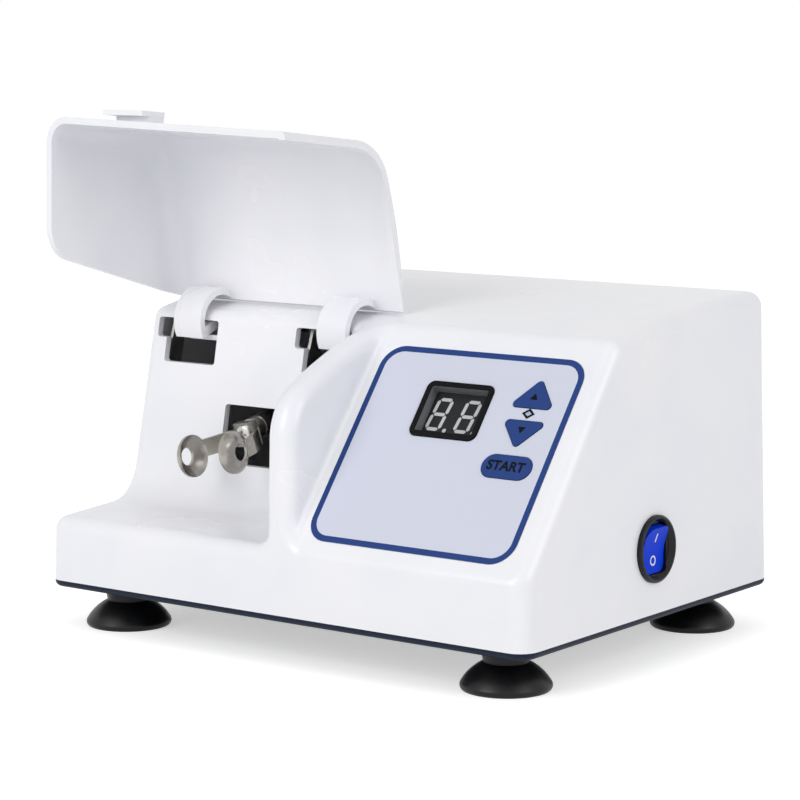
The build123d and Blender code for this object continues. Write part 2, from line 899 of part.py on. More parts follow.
def screw(place, head_radius, head_height, shank_radius, shank_length):
    """A pan-head screw seated on the place's origin, its head along the place's normal."""
    half = screw_profile(head_radius, head_height, shank_radius, shank_length)
    with BuildPart() as body:
        with BuildSketch(Plane.XZ):
            add(half)
        revolve(axis=Axis.Z)
        with BuildSketch(Plane.XY.offset(2 * head_height)):
            Rectangle(head_radius * slot_share, slot_width)
            Rectangle(slot_width, head_radius * slot_share)
        extrude(amount=-head_height * (1 + slot_depth_share), mode=Mode.SUBTRACT)
    return body.part.moved(place.location)


def write_screws(name, places, head_radius, head_height, shank_radius, shank_length):
    """One node of alike screws, one at each place."""
    bodies = [
        screw(place, head_radius, head_height, shank_radius, shank_length) for place in places
    ]
    with BuildPart() as screws:
        for body in bodies:
            add(body)
    screws.part.label = name
    export_step(screws.part, f"parts/{name}.step")


write_screws(
    "foot_screws",
    [Plane((x, y, seam_height + foot_seat_height)) for x, y in foot_points],
    screw_head_radius,
    screw_head_height,
    foot_screw_radius,
    foot_seat_height + base_thickness + foot_screw_depth - 1,
)
write_screws(
    "casing_screws",
    [
        Plane(origin=(x, y, base_floor + screw_head_height), x_dir=(1, 0, 0), z_dir=(0, 0, -1))
        for x, y in post_points
    ],
    screw_head_radius,
    screw_head_height - screw_clearance,
    casing_screw_radius,
    post_height - casing_wall,
)

# ---- Lid: a deep shell on two curled arms ----------------------------------------
# The lid is drawn closed, in a frame that is turned back about the hinge to the open rest pose.
turn = radians(open_angle)
lid_up = (0, sin(turn), cos(turn))
lid_back = (0, cos(turn), -sin(turn))
lid_origin_y = hinge_y - hinge_y * cos(turn) - hinge_height * sin(turn)
lid_origin_z = hinge_height + hinge_y * sin(turn) - hinge_height * cos(turn)
lid_left = left_x + lid_side_inset
lid_right = ear_left + lid_reach_over_ear
lid_front = front_y - lid_overhang


def lid_section(x):
    """Upright plane across the closed lid at x; its axes are the closed lid's Y and Z."""
    return Plane(origin=(x, lid_origin_y, lid_origin_z), x_dir=lid_back, z_dir=(1, 0, 0))


def lid_outline(front, inset):
    """Front wall, nose and top of the closed lid, as a filled section."""
    low = tray_height - lid_end_round
    rear_y = front_y + lid_rear_setback + lid_end_round
    with BuildSketch() as section:
        with BuildLine():
            upright = Line((front, low), (front + lid_lean, lid_upright_height))
            nose = TangentArc(
                upright @ 1,
                (front + lid_lean + lid_nose_depth, lid_nose_height),
                tangent=upright % 1,
            )
            top = TangentArc(
                nose @ 1, (front_y + lid_rear_setback, lid_rear_height), tangent=nose % 1
            )
            tail = Line(top @ 1, (rear_y, lid_rear_height + lid_end_round * tan(radians(8))))
            Polyline(tail @ 1, (rear_y, low), upright @ 0)
        make_face()
        if inset:
            offset(amount=-inset, kind=Kind.INTERSECTION)
    return section.sketch


def lid_form(inset):
    """The closed lid as one block, or, inset by the wall, the room inside it."""
    left = lid_left + inset
    right = lid_right - inset
    left_outline = lid_outline(lid_front - lid_skew, inset)
    right_outline = lid_outline(lid_front, inset)
    with BuildPart() as form:
        with BuildSketch(lid_section(left)):
            add(left_outline)
        with BuildSketch(lid_section(right)):
            add(right_outline)
        loft(ruled=True)
        outer = [
            (lid_front - lid_skew + inset, (tray_height + lid_upright_height) / 2),
            (lid_front + lid_nose_depth / 3, lid_nose_height - lid_nose_depth / 2),
            (crest_y - cove_radius, lid_rear_height - inset - 3),
        ]
        for x, radius in ((left, lid_end_round), (right, lid_ear_round)):
            points = [lid_section(x).from_local_coords(point) for point in outer]
            fillet(edges_near(form, points), radius=max(radius - inset, lid_gap / 2))
    return form.part


web_middle = radians(strap_end) - web_thickness / 2 / strap_outer
magnet_plane = Plane(
    origin=(
        hinge_openings[-1][2] + hinge_arm_width,
        hinge_y + magnet_reach * cos(web_middle),
        hinge_height + magnet_reach * sin(web_middle),
    ),
    x_dir=(0, 1, 0),
    z_dir=(1, 0, 0),
)
lid_outside = lid_form(0)
lid_inside = lid_form(lid_wall)
tab_left = lid_left + tab_inset
tab_share = (lid_right - tab_left - tab_width / 2) / (lid_right - lid_left)
tab_face = lid_front - lid_skew * tab_share
with BuildPart() as lid:
    add(lid_outside)
    add(lid_inside, mode=Mode.SUBTRACT)
    # the rim follows the tray and the chamber wall
    with BuildSketch(lid_section(lid_left - lid_gap)):
        with BuildLine():
            rim = chamber_outline(lid_gap, cove_radius * 2)
            Polyline(
                rim @ 1,
                (back_y, (rim @ 1).Y),
                (back_y, seam_height),
                ((rim @ 0).X, seam_height),
                rim @ 0,
            )
        make_face()
    extrude(amount=body_length, mode=Mode.SUBTRACT)
    # over the ear the rim follows the ear
    with BuildSketch(lid_section(ear_left - lid_gap)):
        with BuildLine():
            low_front = (front_at(sill_height) - ear_gap_front, seam_height)
            upright = Line(low_front, (front_at(shoulder_start) - ear_gap_front, shoulder_start + 3))
            nose = TangentArc(
                upright @ 1,
                (front_at(shoulder_start) + shoulder_depth - 1, shoulder_end + ear_gap_nose),
                tangent=upright % 1,
            )
            top = TangentArc(nose @ 1, (crest_y, crest_height + ear_gap_rear), tangent=nose % 1)
            Polyline(top @ 1, (crest_y, seam_height), upright @ 0)
        make_face()
    extrude(amount=body_length, mode=Mode.SUBTRACT)
    for opening_start, opening_width, start in hinge_openings:
        # strap curled round the rod, web back to it, and the hub
        with BuildSketch(Plane.YZ.offset(start)):
            with BuildLine():
                CenterArc((hinge_y, hinge_height), strap_outer, strap_start, strap_end - strap_start)
                CenterArc((hinge_y, hinge_height), strap_inner, strap_start, strap_end - strap_start)
                for angle in (strap_start, strap_end):
                    PolarLine(
                        (
                            hinge_y + strap_inner * cos(radians(angle)),
                            hinge_height + strap_inner * sin(radians(angle)),
                        ),
                        strap_outer - strap_inner,
                        angle=angle,
                    )
            make_face()
            with Locations((hinge_y, hinge_height)):
                Circle(hub_radius)
            with BuildLine():
                reach = (strap_inner + strap_outer) / 2
                foot = (hinge_y + reach * cos(web_middle), hinge_height + reach * sin(web_middle))
                side = (-sin(web_middle) * web_thickness / 2, cos(web_middle) * web_thickness / 2)
                Polyline(
                    (foot[0] - side[0], foot[1] - side[1]),
                    (hinge_y - side[0], hinge_height - side[1]),
                    (hinge_y + side[0], hinge_height + side[1]),
                    (foot[0] + side[0], foot[1] + side[1]),
                    close=True,
                )
            make_face()
            with Locations((hinge_y, hinge_height)):
                Circle(rod_radius + rod_running_gap, mode=Mode.SUBTRACT)
        extrude(amount=hinge_arm_width)
        # stop lug that hangs under the web
        with BuildSketch(Plane.YZ.offset(start + lug_margin)):
            with Locations((hinge_y + lug_y, hinge_height - lug_drop)):
                Rectangle(lug_depth, lug_height)
        extrude(amount=opening_start + opening_width - lug_gap - start - lug_margin)
        with BuildSketch(Plane.YZ.offset(start + lug_margin)):
            with Locations((hinge_y + lug_y, hinge_height - lug_drop + lug_stem / 2)):
                Rectangle(lug_height, lug_stem)
        extrude(amount=hinge_arm_width - 2 * lug_margin)
    # blind hole for the magnet, in the web of the right arm
    with BuildSketch(magnet_plane):
        Circle(magnet_radius + fit_gap / 4)
    extrude(amount=-magnet_length - fit_gap, mode=Mode.SUBTRACT)
    # finger tab on the front wall: a stem and a flange that reaches below it
    for x, width, near, far, low in (
        (tab_left, tab_width, tab_standoff, tab_standoff + tab_thickness, 0),
        (tab_left + tab_stem_shift, tab_stem_width, -lid_wall / 2, tab_standoff, tab_drop),
    ):
        with BuildSketch(lid_section(x)):
            with Locations((tab_face - (near + far) / 2, tab_low + (tab_height + low) / 2)):
                Rectangle(far - near, tab_height - low)
        extrude(amount=width)
lid.part.label = "lid"
export_step(lid.part, "parts/lid.step")

# ---- Hinge rod, its brackets, clips and screws ------------------------------------
clip_stations = [start - clip_offset for start, _, _ in hinge_openings]
clip_stations.append(right_opening_x + right_opening_width + clip_offset)
with BuildPart() as hinge_rod:
    with BuildSketch(Plane.YZ.offset(clip_stations[0] - rod_overhang)):
        with Locations((hinge_y, hinge_height)):
            Circle(rod_radius)
    extrude(amount=clip_stations[-1] - clip_stations[0] + 2 * rod_overhang)
    chamfer(hinge_rod.edges(), length=rod_radius / 5)
    for station in clip_stations:
        with BuildSketch(Plane.YZ.offset(station - clip_thickness / 2)):
            with Locations((hinge_y, hinge_height)):
                Circle(2 * rod_radius)
                Circle(clip_groove_radius, mode=Mode.SUBTRACT)
        extrude(amount=clip_thickness, mode=Mode.SUBTRACT)
hinge_rod.part.label = "hinge_rod"
export_step(hinge_rod.part, "parts/hinge_rod.step")

with BuildPart() as rod_clips:
    for station in clip_stations:
        with BuildSketch(Plane.YZ.offset(station - clip_thickness / 2)):
            with Locations((hinge_y, hinge_height)):
                Circle(clip_radius)
                Circle(clip_groove_radius, mode=Mode.SUBTRACT)
            with Locations((hinge_y, hinge_height - clip_radius)):
                Rectangle(2 * clip_groove_radius * 0.8, 2 * clip_radius, mode=Mode.SUBTRACT)
        extrude(amount=clip_thickness)
rod_clips.part.label = "rod_clips"
export_step(rod_clips.part, "parts/rod_clips.step")


for name, (start, width, _), screw_plane in zip(("left", "right"), hinge_openings, screw_planes):
    with BuildPart() as hinge_bracket:
        # strip along the back of the chamber wall
        with BuildSketch(screw_plane):
            Rectangle(width + 2 * ear_offset + 2 * bracket_thickness, bracket_high - bracket_low)
            Circle(bracket_screw_radius + screw_clearance, mode=Mode.SUBTRACT)
        extrude(amount=bracket_thickness)
        # an ear each side of the arm, up to the rod
        for x in (start - ear_offset - bracket_thickness, start + width + ear_offset):
            with BuildSketch(Plane.YZ.offset(x)):
                with BuildLine():
                    Polyline(
                        (hinge_y - bracket_ear_radius, hinge_height),
                        (wall_inside(bracket_high), bracket_high),
                        (wall_inside(bracket_low), bracket_low),
                        (wall_inside(bracket_low) + bracket_foot, bracket_low),
                        (hinge_y + bracket_ear_radius, hinge_height),
                        close=True,
                    )
                make_face()
                with Locations((hinge_y, hinge_height)):
                    Circle(bracket_ear_radius)
                    Circle(rod_radius, mode=Mode.SUBTRACT)
            extrude(amount=bracket_thickness)
    hinge_bracket.part.label = f"hinge_bracket_{name}"
    export_step(hinge_bracket.part, f"parts/hinge_bracket_{name}.step")

write_screws(
    "hinge_screws",
    [plane.offset(bracket_thickness) for plane in screw_planes],
    bracket_screw_head,
    bracket_thickness,
    bracket_screw_radius,
    bracket_thickness + bracket_screw_bite,
)

with BuildPart() as lid_magnet:
    with BuildSketch(magnet_plane):
        Circle(magnet_radius)
    extrude(amount=-magnet_length)
    chamfer(lid_magnet.edges(), length=magnet_radius / 6)
lid_magnet.part.label = "lid_magnet"
export_step(lid_magnet.part, "parts/lid_magnet.step")

# The reed switch sits on the outer face of the last hinge ear, where the magnet comes to rest.
sensor_face = right_opening_x + right_opening_width + ear_offset + bracket_thickness
with BuildPart() as interlock_sensor:
    with BuildSketch(Plane.YZ.offset(sensor_face)):
        with Locations((hinge_y + sensor_y, hinge_height - sensor_drop)):
            RectangleRounded(sensor_depth, sensor_height, sensor_depth / 8)
    extrude(amount=sensor_width)
    with BuildSketch(Plane.XY.offset(hinge_height - sensor_drop)):
        with Locations((sensor_face + sensor_width / 2, hinge_y + sensor_y)):
            with GridLocations(1, sensor_depth / 2, 1, 2):
                Circle(lead_radius)
    extrude(amount=-sensor_height / 2 - lead_length)
interlock_sensor.part.label = "interlock_sensor"
export_step(interlock_sensor.part, "parts/interlock_sensor.step")

# ---- Control panel: overlay, window, keys and lamp --------------------------------
overlay_top = overlay_sink - overlay_thickness
up_hole = arrow_sketch(up_key_foot, up_key_height, True, fit_gap)
down_hole = arrow_sketch(down_key_foot, down_key_height, False, fit_gap)
led_hole = led_sketch(fit_gap / 2)
with BuildPart() as panel_overlay:
    with BuildSketch(panel_plane(overlay_sink)):
        with Locations(overlay_centre):
            RectangleRounded(overlay_width, overlay_height, overlay_corner)
        add([window_hole, start_hole, up_hole, down_hole, led_hole], mode=Mode.SUBTRACT)
    extrude(amount=overlay_thickness)
panel_overlay.part.label = "panel_overlay"
export_step(panel_overlay.part, "parts/panel_overlay.step")

window_outline = window_sketch(0)
window_flange_outline = window_sketch(window_flange)
window_glass = window_sketch(-bezel_width)
with BuildPart() as display_window:
    with BuildSketch(panel_plane(-window_proud)):
        add(window_outline)
    extrude(amount=-window_proud - casing_wall)
    chamfer(display_window.faces().sort_by(panel_axis)[-1].edges(), length=window_proud / 2)
    with BuildSketch(panel_plane(casing_wall)):
        add(window_flange_outline)
    extrude(amount=-flange_thickness)
    with BuildSketch(panel_plane(-window_proud)):
        add(window_glass)
    extrude(amount=-window_proud, mode=Mode.SUBTRACT)
display_window.part.label = "display_window"
export_step(display_window.part, "parts/display_window.step")

window_centre = (window_inset + window_width / 2, window_foot + window_height / 2)
with BuildPart() as display_module:
    with BuildSketch(panel_plane(casing_wall + flange_thickness + fit_gap)):
        with Locations(window_centre):
            Rectangle(module_width, module_height)
    extrude(amount=casing_wall + flange_thickness + fit_gap - board_depth)
    # a shallow frame round the two digits
    with BuildSketch(panel_plane(casing_wall + flange_thickness + fit_gap)):
        with Locations(window_centre):
            with GridLocations(module_width / 2, 1, 2, 1):
                Rectangle(module_width / 2 - module_rim, module_height - module_rim)
    extrude(amount=-module_rim / 4, mode=Mode.SUBTRACT)
display_module.part.label = "display_module"
export_step(display_module.part, "parts/display_module.step")

up_middle = up_key_foot + up_key_height / 3
down_middle = down_key_foot + down_key_height * 2 / 3
start_middle = start_foot + start_height / 2
switch_places = [(key_inset, up_middle), (key_inset, down_middle), (key_inset, start_middle)]
board_plane = panel_plane(board_depth)
with BuildPart() as control_board:
    with BuildSketch(board_plane):
        with Locations((board_inset + board_width / 2, overlay_foot + overlay_height / 2)):
            RectangleRounded(board_width, overlay_height, board_margin / 2)
        with Locations(*board_posts):
            Circle(board_screw_radius + screw_clearance, mode=Mode.SUBTRACT)
    extrude(amount=-board_thickness)
    # driver chip and connector on the back
    with BuildSketch(panel_plane(board_depth + board_thickness)):
        with Locations((board_width / 3, overlay_height / 3)):
            Rectangle(chip_length, chip_width)
    extrude(amount=-chip_height)
control_board.part.label = "control_board"
export_step(control_board.part, "parts/control_board.step")

write_screws(
    "board_screws",
    [
        Plane(
            origin=panel_plane(board_depth + board_thickness).from_local_coords((x, y, 0)),
            x_dir=(1, 0, 0),
            z_dir=panel.z_dir * -1,
        )
        for x, y in board_posts
    ],
    board_screw_radius * 2,
    screw_head_height,
    board_screw_radius,
    board_screw_length,
)

with BuildPart() as key_switches:
    with BuildSketch(board_plane):
        with Locations(*switch_places):
            RectangleRounded(switch_side, switch_side, switch_side / 12)
    extrude(amount=switch_height)
    with BuildSketch(board_plane.offset(switch_height)):
        with Locations(*switch_places):
            Circle(plunger_radius)
    extrude(amount=plunger_height)
key_switches.part.label = "key_switches"
export_step(key_switches.part, "parts/key_switches.step")

stem_end = board_depth - switch_height - plunger_height - key_travel - key_slack
arrow_flange_top = overlay_sink + key_slack * 2
start_flange_top = casing_wall + key_slack * 2
key_forms = [
    (
        "up_key",
        arrow_sketch(up_key_foot, up_key_height, True, 0),
        arrow_sketch(up_key_foot, up_key_height, True, key_flange),
        arrow_flange_top,
        switch_places[0],
    ),
    (
        "down_key",
        arrow_sketch(down_key_foot, down_key_height, False, 0),
        arrow_sketch(down_key_foot, down_key_height, False, key_flange),
        arrow_flange_top,
        switch_places[1],
    ),
    ("start_key", start_sketch(0), start_sketch(key_flange), start_flange_top, switch_places[2]),
]
for name, outline, flange, flange_top, place in key_forms:
    with BuildPart() as key:
        with BuildSketch(panel_plane(flange_top)):
            add(outline)
        extrude(amount=flange_top + key_proud)
        fillet(key.faces().sort_by(panel_axis)[-1].edges(), radius=key_proud / 2)
        with BuildSketch(panel_plane(flange_top)):
            add(flange)
        extrude(amount=-flange_thickness)
        with BuildSketch(panel_plane(flange_top + flange_thickness)):
            with Locations(place):
                Circle(stem_radius)
        extrude(amount=flange_top + flange_thickness - stem_end)
    key.part.label = name
    export_step(key.part, f"parts/{name}.step")

led_outline = led_sketch(0)
with BuildPart() as status_led:
    with BuildSketch(panel_plane(overlay_top - key_slack)):
        add(led_outline)
    extrude(amount=overlay_top - key_slack - key_depth)
    with BuildSketch(panel_plane(key_depth)):
        with Locations((key_inset, led_foot)):
            Circle(led_height / 2)
    extrude(amount=key_depth - board_depth)
status_led.part.label = "status_led"
export_step(status_led.part, "parts/status_led.step")

# ---- Power switch: round bezel and rocking paddle ---------------------------------
well_width = paddle_width + 2 * paddle_gap
well_height = paddle_height + 4 * paddle_gap
with BuildPart() as rocker_bezel:
    with BuildSketch(rocker_plane):
        Circle(switch_body_radius)
    extrude(amount=-switch_depth)
    with BuildSketch(rocker_plane):
        Circle(bezel_radius)
    extrude(amount=bezel_proud)
    fillet(rocker_bezel.faces().sort_by(Axis.X)[-1].edges(), radius=bezel_proud / 2)
    # snap teeth behind the casing wall
    for side in (-1, 1):
        with BuildSketch(rocker_plane.offset(-casing_wall - fit_gap)):
            with Locations((side * switch_body_radius, 0)):
                Rectangle(snap_reach * 2, snap_width)
        extrude(amount=-snap_length)
    # dished face, well for the paddle and holes for its pivots
    with BuildSketch(rocker_plane.offset(bezel_proud)):
        Circle(bezel_radius - bezel_proud / 2 - fit_gap)
    extrude(amount=-bezel_proud, taper=dish_taper, mode=Mode.SUBTRACT)
    with BuildSketch(rocker_plane.offset(bezel_proud)):
        RectangleRounded(well_width, well_height, paddle_corner + paddle_gap)
    extrude(amount=-bezel_proud - well_depth, mode=Mode.SUBTRACT)
    with BuildSketch(Plane.XZ.offset(-rocker_origin[1])):
        with Locations((rocker_origin[0] - pivot_depth, rocker_origin[2])):
            Circle(pivot_radius + shaft_running_gap)
    extrude(amount=paddle_width / 2 + pivot_length, both=True, mode=Mode.SUBTRACT)
    # blade terminals
    with BuildSketch(rocker_plane.offset(-switch_depth)):
        with GridLocations(1, paddle_height / 2, 1, 2):
            Rectangle(tab_blade_width, tab_blade)
    extrude(amount=-tab_blade_length)
rocker_bezel.part.label = "rocker_bezel"
export_step(rocker_bezel.part, "parts/rocker_bezel.step")

rocker_side = Plane(origin=rocker_origin, x_dir=(1, 0, 0), z_dir=(0, -1, 0))
rocker_pivot = Axis(
    (rocker_origin[0] - pivot_depth, rocker_origin[1], rocker_origin[2]), (0, 1, 0)
)
with BuildPart() as paddle:
    with BuildSketch(rocker_side):
        with BuildLine():
            front = ThreePointArc(
                (paddle_lift, -paddle_height / 2),
                (-paddle_sag, 0),
                (paddle_lift, paddle_height / 2),
            )
            Polyline(
                front @ 1,
                (-pivot_depth, paddle_height / 2),
                (-paddle_depth, paddle_height / 2 - paddle_sag),
                (-paddle_depth, -paddle_height / 2 + paddle_sag),
                (-pivot_depth, -paddle_height / 2),
                front @ 0,
            )
        make_face()
    extrude(amount=paddle_width / 2, both=True)
    with BuildSketch(Plane.YZ.offset(rocker_origin[0] - 2 * paddle_depth)):
        with Locations((rocker_origin[1], rocker_origin[2])):
            RectangleRounded(paddle_width, paddle_height, paddle_corner)
    extrude(amount=4 * paddle_depth, mode=Mode.INTERSECT)
    with BuildSketch(rocker_side):
        with Locations((-pivot_depth, 0)):
            Circle(pivot_radius)
    extrude(amount=paddle_width / 2 + pivot_length - paddle_gap, both=True)
rocker = paddle.part.rotate(rocker_pivot, rocker_throw / 2)
rocker.label = "rocker"
export_step(rocker, "parts/rocker.step")

# ---- Drive: motor on a bracket with damper bushes ---------------------------------
motor_face = Plane(origin=(motor_x, shaft_y, shaft_height), x_dir=(0, 1, 0), z_dir=(1, 0, 0))
face_screw_places = [
    (motor_face_pitch * cos(radians(angle)), motor_face_pitch * sin(radians(angle)))
    for angle in (45, 135, 225, 315)
]
with BuildPart() as motor:
    with BuildSketch(motor_face):
        Circle(motor_radius)
    extrude(amount=motor_length)
    fillet(motor.edges(), radius=motor_groove)
    # bearing housings at both ends
    with BuildSketch(motor_face.offset(-motor_plate)):
        Circle(motor_pilot_radius)
    extrude(amount=motor_plate)
    with BuildSketch(motor_face.offset(motor_length)):
        Circle(motor_tail_radius)
    extrude(amount=motor_tail_length)
    # joints between the can and its two end caps
    for station in (motor_cap_length, motor_length - motor_cap_length):
        with BuildSketch(motor_face.offset(station)):
            Circle(motor_radius + motor_groove)
            Circle(motor_radius - motor_groove, mode=Mode.SUBTRACT)
        extrude(amount=motor_groove, mode=Mode.SUBTRACT)
    # cooling slots round the tail cap
    with BuildSketch(motor_face.offset(motor_length)):
        with PolarLocations(motor_face_pitch, 8):
            SlotOverall(motor_groove * 6, motor_groove * 2, rotation=90)
    extrude(amount=-motor_cap_length / 2, mode=Mode.SUBTRACT)
    with BuildSketch(motor_face):
        with Locations(*face_screw_places):
            Circle(motor_screw_radius + screw_clearance / 2)
    extrude(amount=motor_cap_length - motor_groove, mode=Mode.SUBTRACT)
    with BuildSketch(motor_face.offset(-motor_plate)):
        Circle(shaft_radius + shaft_running_gap)
    extrude(amount=motor_plate + motor_bore_depth, mode=Mode.SUBTRACT)
motor.part.label = "motor"
export_step(motor.part, "parts/motor.step")

foot_level = seam_height + bush_height
with BuildPart() as motor_bracket:
    with BuildSketch(motor_face.offset(-motor_plate)):
        with BuildLine():
            half = motor_plate_width / 2
            Polyline((-half, 0), (-half, foot_level - shaft_height), (half, foot_level - shaft_height))
            Line((half, foot_level - shaft_height), (half, 0))
            ThreePointArc((half, 0), (0, half), (-half, 0))
        make_face()
        Circle(motor_pilot_radius + fit_gap / 2, mode=Mode.SUBTRACT)
        with Locations(*face_screw_places):
            Circle(motor_screw_radius + screw_clearance, mode=Mode.SUBTRACT)
    extrude(amount=motor_plate)
    with BuildSketch(Plane.XY.offset(foot_level)):
        with Locations((motor_x + motor_foot_depth / 2, shaft_y)):
            Rectangle(motor_foot_depth, motor_plate_width)
        with Locations(*motor_feet):
            Circle(motor_screw_radius + screw_clearance, mode=Mode.SUBTRACT)
    extrude(amount=motor_plate)
    # bend between plate and foot, stiffened by a gusset in the middle
    with BuildSketch(Plane.XZ.offset(-shaft_y)):
        with BuildLine():
            Polyline(
                (motor_x, foot_level + motor_plate),
                (motor_x + gusset_length, foot_level + motor_plate),
                (motor_x, foot_level + motor_plate + gusset_height),
                close=True,
            )
        make_face()
    extrude(amount=gusset_thickness / 2, both=True)
motor_bracket.part.label = "motor_bracket"
export_step(motor_bracket.part, "parts/motor_bracket.step")

with BuildPart() as damper_bushes:
    with BuildSketch(Plane.XY.offset(seam_height)):
        with Locations(*motor_feet):
            Circle(bush_radius)
    extrude(amount=bush_height)
    fillet(damper_bushes.edges(), radius=bush_height / 8)
    with BuildSketch(Plane.XY.offset(seam_height)):
        with Locations(*motor_feet):
            Circle(motor_screw_radius + screw_clearance / 2)
    extrude(amount=bush_height, mode=Mode.SUBTRACT)
damper_bushes.part.label = "damper_bushes"
export_step(damper_bushes.part, "parts/damper_bushes.step")

nut_level = foot_level + motor_plate
write_screws(
    "motor_screws",
    [Plane(origin=(x, y, base_floor), x_dir=(1, 0, 0), z_dir=(0, 0, -1)) for x, y in motor_feet],
    motor_screw_radius * 2,
    screw_head_height,
    motor_screw_radius,
    nut_level + nut_height + thread_past_nut - base_floor,
)
with BuildPart() as motor_nuts:
    with BuildSketch(Plane.XY.offset(nut_level)):
        with Locations(*motor_feet):
            RegularPolygon(nut_radius, 6)
            Circle(motor_screw_radius, mode=Mode.SUBTRACT)
    extrude(amount=nut_height)
motor_nuts.part.label = "motor_nuts"
export_step(motor_nuts.part, "parts/motor_nuts.step")
write_screws(
    "motor_face_screws",
    [
        Plane(
            origin=motor_face.offset(-motor_plate).from_local_coords((x, y, 0)),
            x_dir=(0, 1, 0),
            z_dir=(-1, 0, 0),
        )
        for x, y in face_screw_places
    ],
    motor_screw_radius * 2,
    screw_head_height,
    motor_screw_radius,
    motor_plate + motor_cap_length / 2,
)

# ---- Skewed journal that makes the arm swing --------------------------------------
skew_centre = (skew_x, shaft_y, shaft_height)
skew_direction = (cos(radians(skew_angle)), 0, sin(radians(skew_angle)))
skew_axis = Axis(skew_centre, skew_direction)
skew_plane = Plane(origin=skew_centre, x_dir=(0, 1, 0), z_dir=skew_direction)
skew_half = Plane(origin=skew_centre, x_dir=skew_direction, z_dir=(0, -1, 0))
shaft_plane = Plane(origin=skew_centre, x_dir=(0, 1, 0), z_dir=(1, 0, 0))
with BuildPart() as drive_shaft:
    with BuildSketch(shaft_plane.offset(-shaft_overrun)):
        Circle(shaft_radius)
    extrude(amount=shaft_overrun + motor_x - skew_x + motor_bore_depth - motor_groove)
    chamfer(drive_shaft.edges(), length=shaft_radius / 6)
drive_shaft.part.label = "drive_shaft"
export_step(drive_shaft.part, "parts/drive_shaft.step")

with BuildPart() as skew_sleeve:
    with BuildSketch(skew_plane.offset(-journal_length / 2)):
        Circle(journal_radius)
    extrude(amount=journal_length)
    with BuildSketch(skew_plane.offset(bearing_width / 2)):
        Circle(collar_radius)
    extrude(amount=collar_thickness)
    with BuildSketch(shaft_plane.offset(bearing_width / 2 + collar_thickness)):
        Circle(sleeve_hub_radius)
    extrude(amount=sleeve_hub - bearing_width / 2 - collar_thickness)
    with BuildSketch(shaft_plane.offset(-2 * journal_length)):
        Circle(shaft_radius)
    extrude(amount=4 * journal_length, mode=Mode.SUBTRACT)
    with BuildSketch(Plane.XY.offset(shaft_height)):
        with Locations((skew_x + set_screw_station, shaft_y)):
            Circle(set_screw_radius)
    extrude(amount=2 * sleeve_hub_radius, mode=Mode.SUBTRACT)
skew_sleeve.part.label = "skew_sleeve"
export_step(skew_sleeve.part, "parts/skew_sleeve.step")

with BuildPart() as set_screw:
    with BuildSketch(Plane.XY.offset(shaft_height + shaft_radius)):
        with Locations((skew_x + set_screw_station, shaft_y)):
            Circle(set_screw_radius)
    extrude(amount=sleeve_hub_radius - shaft_radius)
    with BuildSketch(Plane.XY.offset(shaft_height + sleeve_hub_radius)):
        with Locations((skew_x + set_screw_station, shaft_y)):
            RegularPolygon(set_screw_radius * 0.6, 6)
    extrude(amount=-set_socket_depth, mode=Mode.SUBTRACT)
set_screw.part.label = "set_screw"
export_step(set_screw.part, "parts/set_screw.step")

ball_track = ball_radius + race_gap
for name, low, high, track in (
    ("bearing_inner_ring", journal_radius, bearing_pitch_radius - race_land, ball_radius),
    ("bearing_outer_ring", bearing_pitch_radius + race_land, bearing_outer_radius, ball_track),
):
    with BuildPart() as ring:
        with BuildSketch(skew_half):
            with Locations((0, (low + high) / 2)):
                Rectangle(bearing_width, high - low)
            with Locations((0, bearing_pitch_radius)):
                Circle(track, mode=Mode.SUBTRACT)
        revolve(axis=skew_axis)
    ring.part.label = name
    export_step(ring.part, f"parts/{name}.step")

ball_centres = [
    skew_plane.from_local_coords(
        (
            bearing_pitch_radius * cos(radians(360 / ball_count * index)),
            bearing_pitch_radius * sin(radians(360 / ball_count * index)),
            0,
        )
    )
    for index in range(ball_count)
]
with BuildPart() as bearing_balls:
    with Locations(*ball_centres):
        Sphere(ball_radius)
bearing_balls.part.label = "bearing_balls"
export_step(bearing_balls.part, "parts/bearing_balls.step")

# ---- Swinging arm: hub, boss and the spring clip for the capsule -------------------
pitch = radians(boss_pitch)
skew = radians(skew_angle)
arm_up = (-cos(pitch) * sin(skew), -sin(pitch), cos(pitch) * cos(skew))
arm_frame = Plane(origin=skew_centre, x_dir=skew_direction, z_dir=arm_up)
arm_back = arm_frame.y_dir
boss_plane = Plane(origin=skew_centre, x_dir=skew_direction, z_dir=arm_back * -1)
hub_radius_outside = bearing_outer_radius + hub_wall
with BuildPart() as arm_hub:
    with BuildSketch(skew_plane.offset(-bearing_width / 2)):
        Circle(hub_radius_outside)
    extrude(amount=bearing_width)
    with BuildSketch(boss_plane):
        Circle(boss_radius)
    extrude(amount=boss_reach)
    chamfer(arm_hub.faces().sort_by(Axis.Y)[0].edges(), length=boss_groove)
    # lug under the hub for the restraining spring
    with BuildSketch(arm_frame):
        Circle(lug_radius)
    extrude(amount=-lug_reach)
    with BuildSketch(boss_plane.offset(-lug_radius)):
        with Locations((0, lug_reach - lug_radius)):
            Circle(lug_hole_radius)
    extrude(amount=2 * lug_radius, mode=Mode.SUBTRACT)
    with BuildSketch(skew_plane.offset(-bearing_width)):
        Circle(bearing_outer_radius)
    extrude(amount=2 * bearing_width, mode=Mode.SUBTRACT)
    # two turned grooves and the tapped hole in the end of the boss
    for station in boss_groove_stations:
        with BuildSketch(boss_plane.offset(station)):
            Circle(boss_radius + boss_groove)
            Circle(boss_radius - boss_groove, mode=Mode.SUBTRACT)
        extrude(amount=boss_groove_width, mode=Mode.SUBTRACT)
    with BuildSketch(boss_plane.offset(boss_reach)):
        Circle(clip_screw_radius + screw_clearance / 2)
    extrude(amount=-clip_screw_reach, mode=Mode.SUBTRACT)
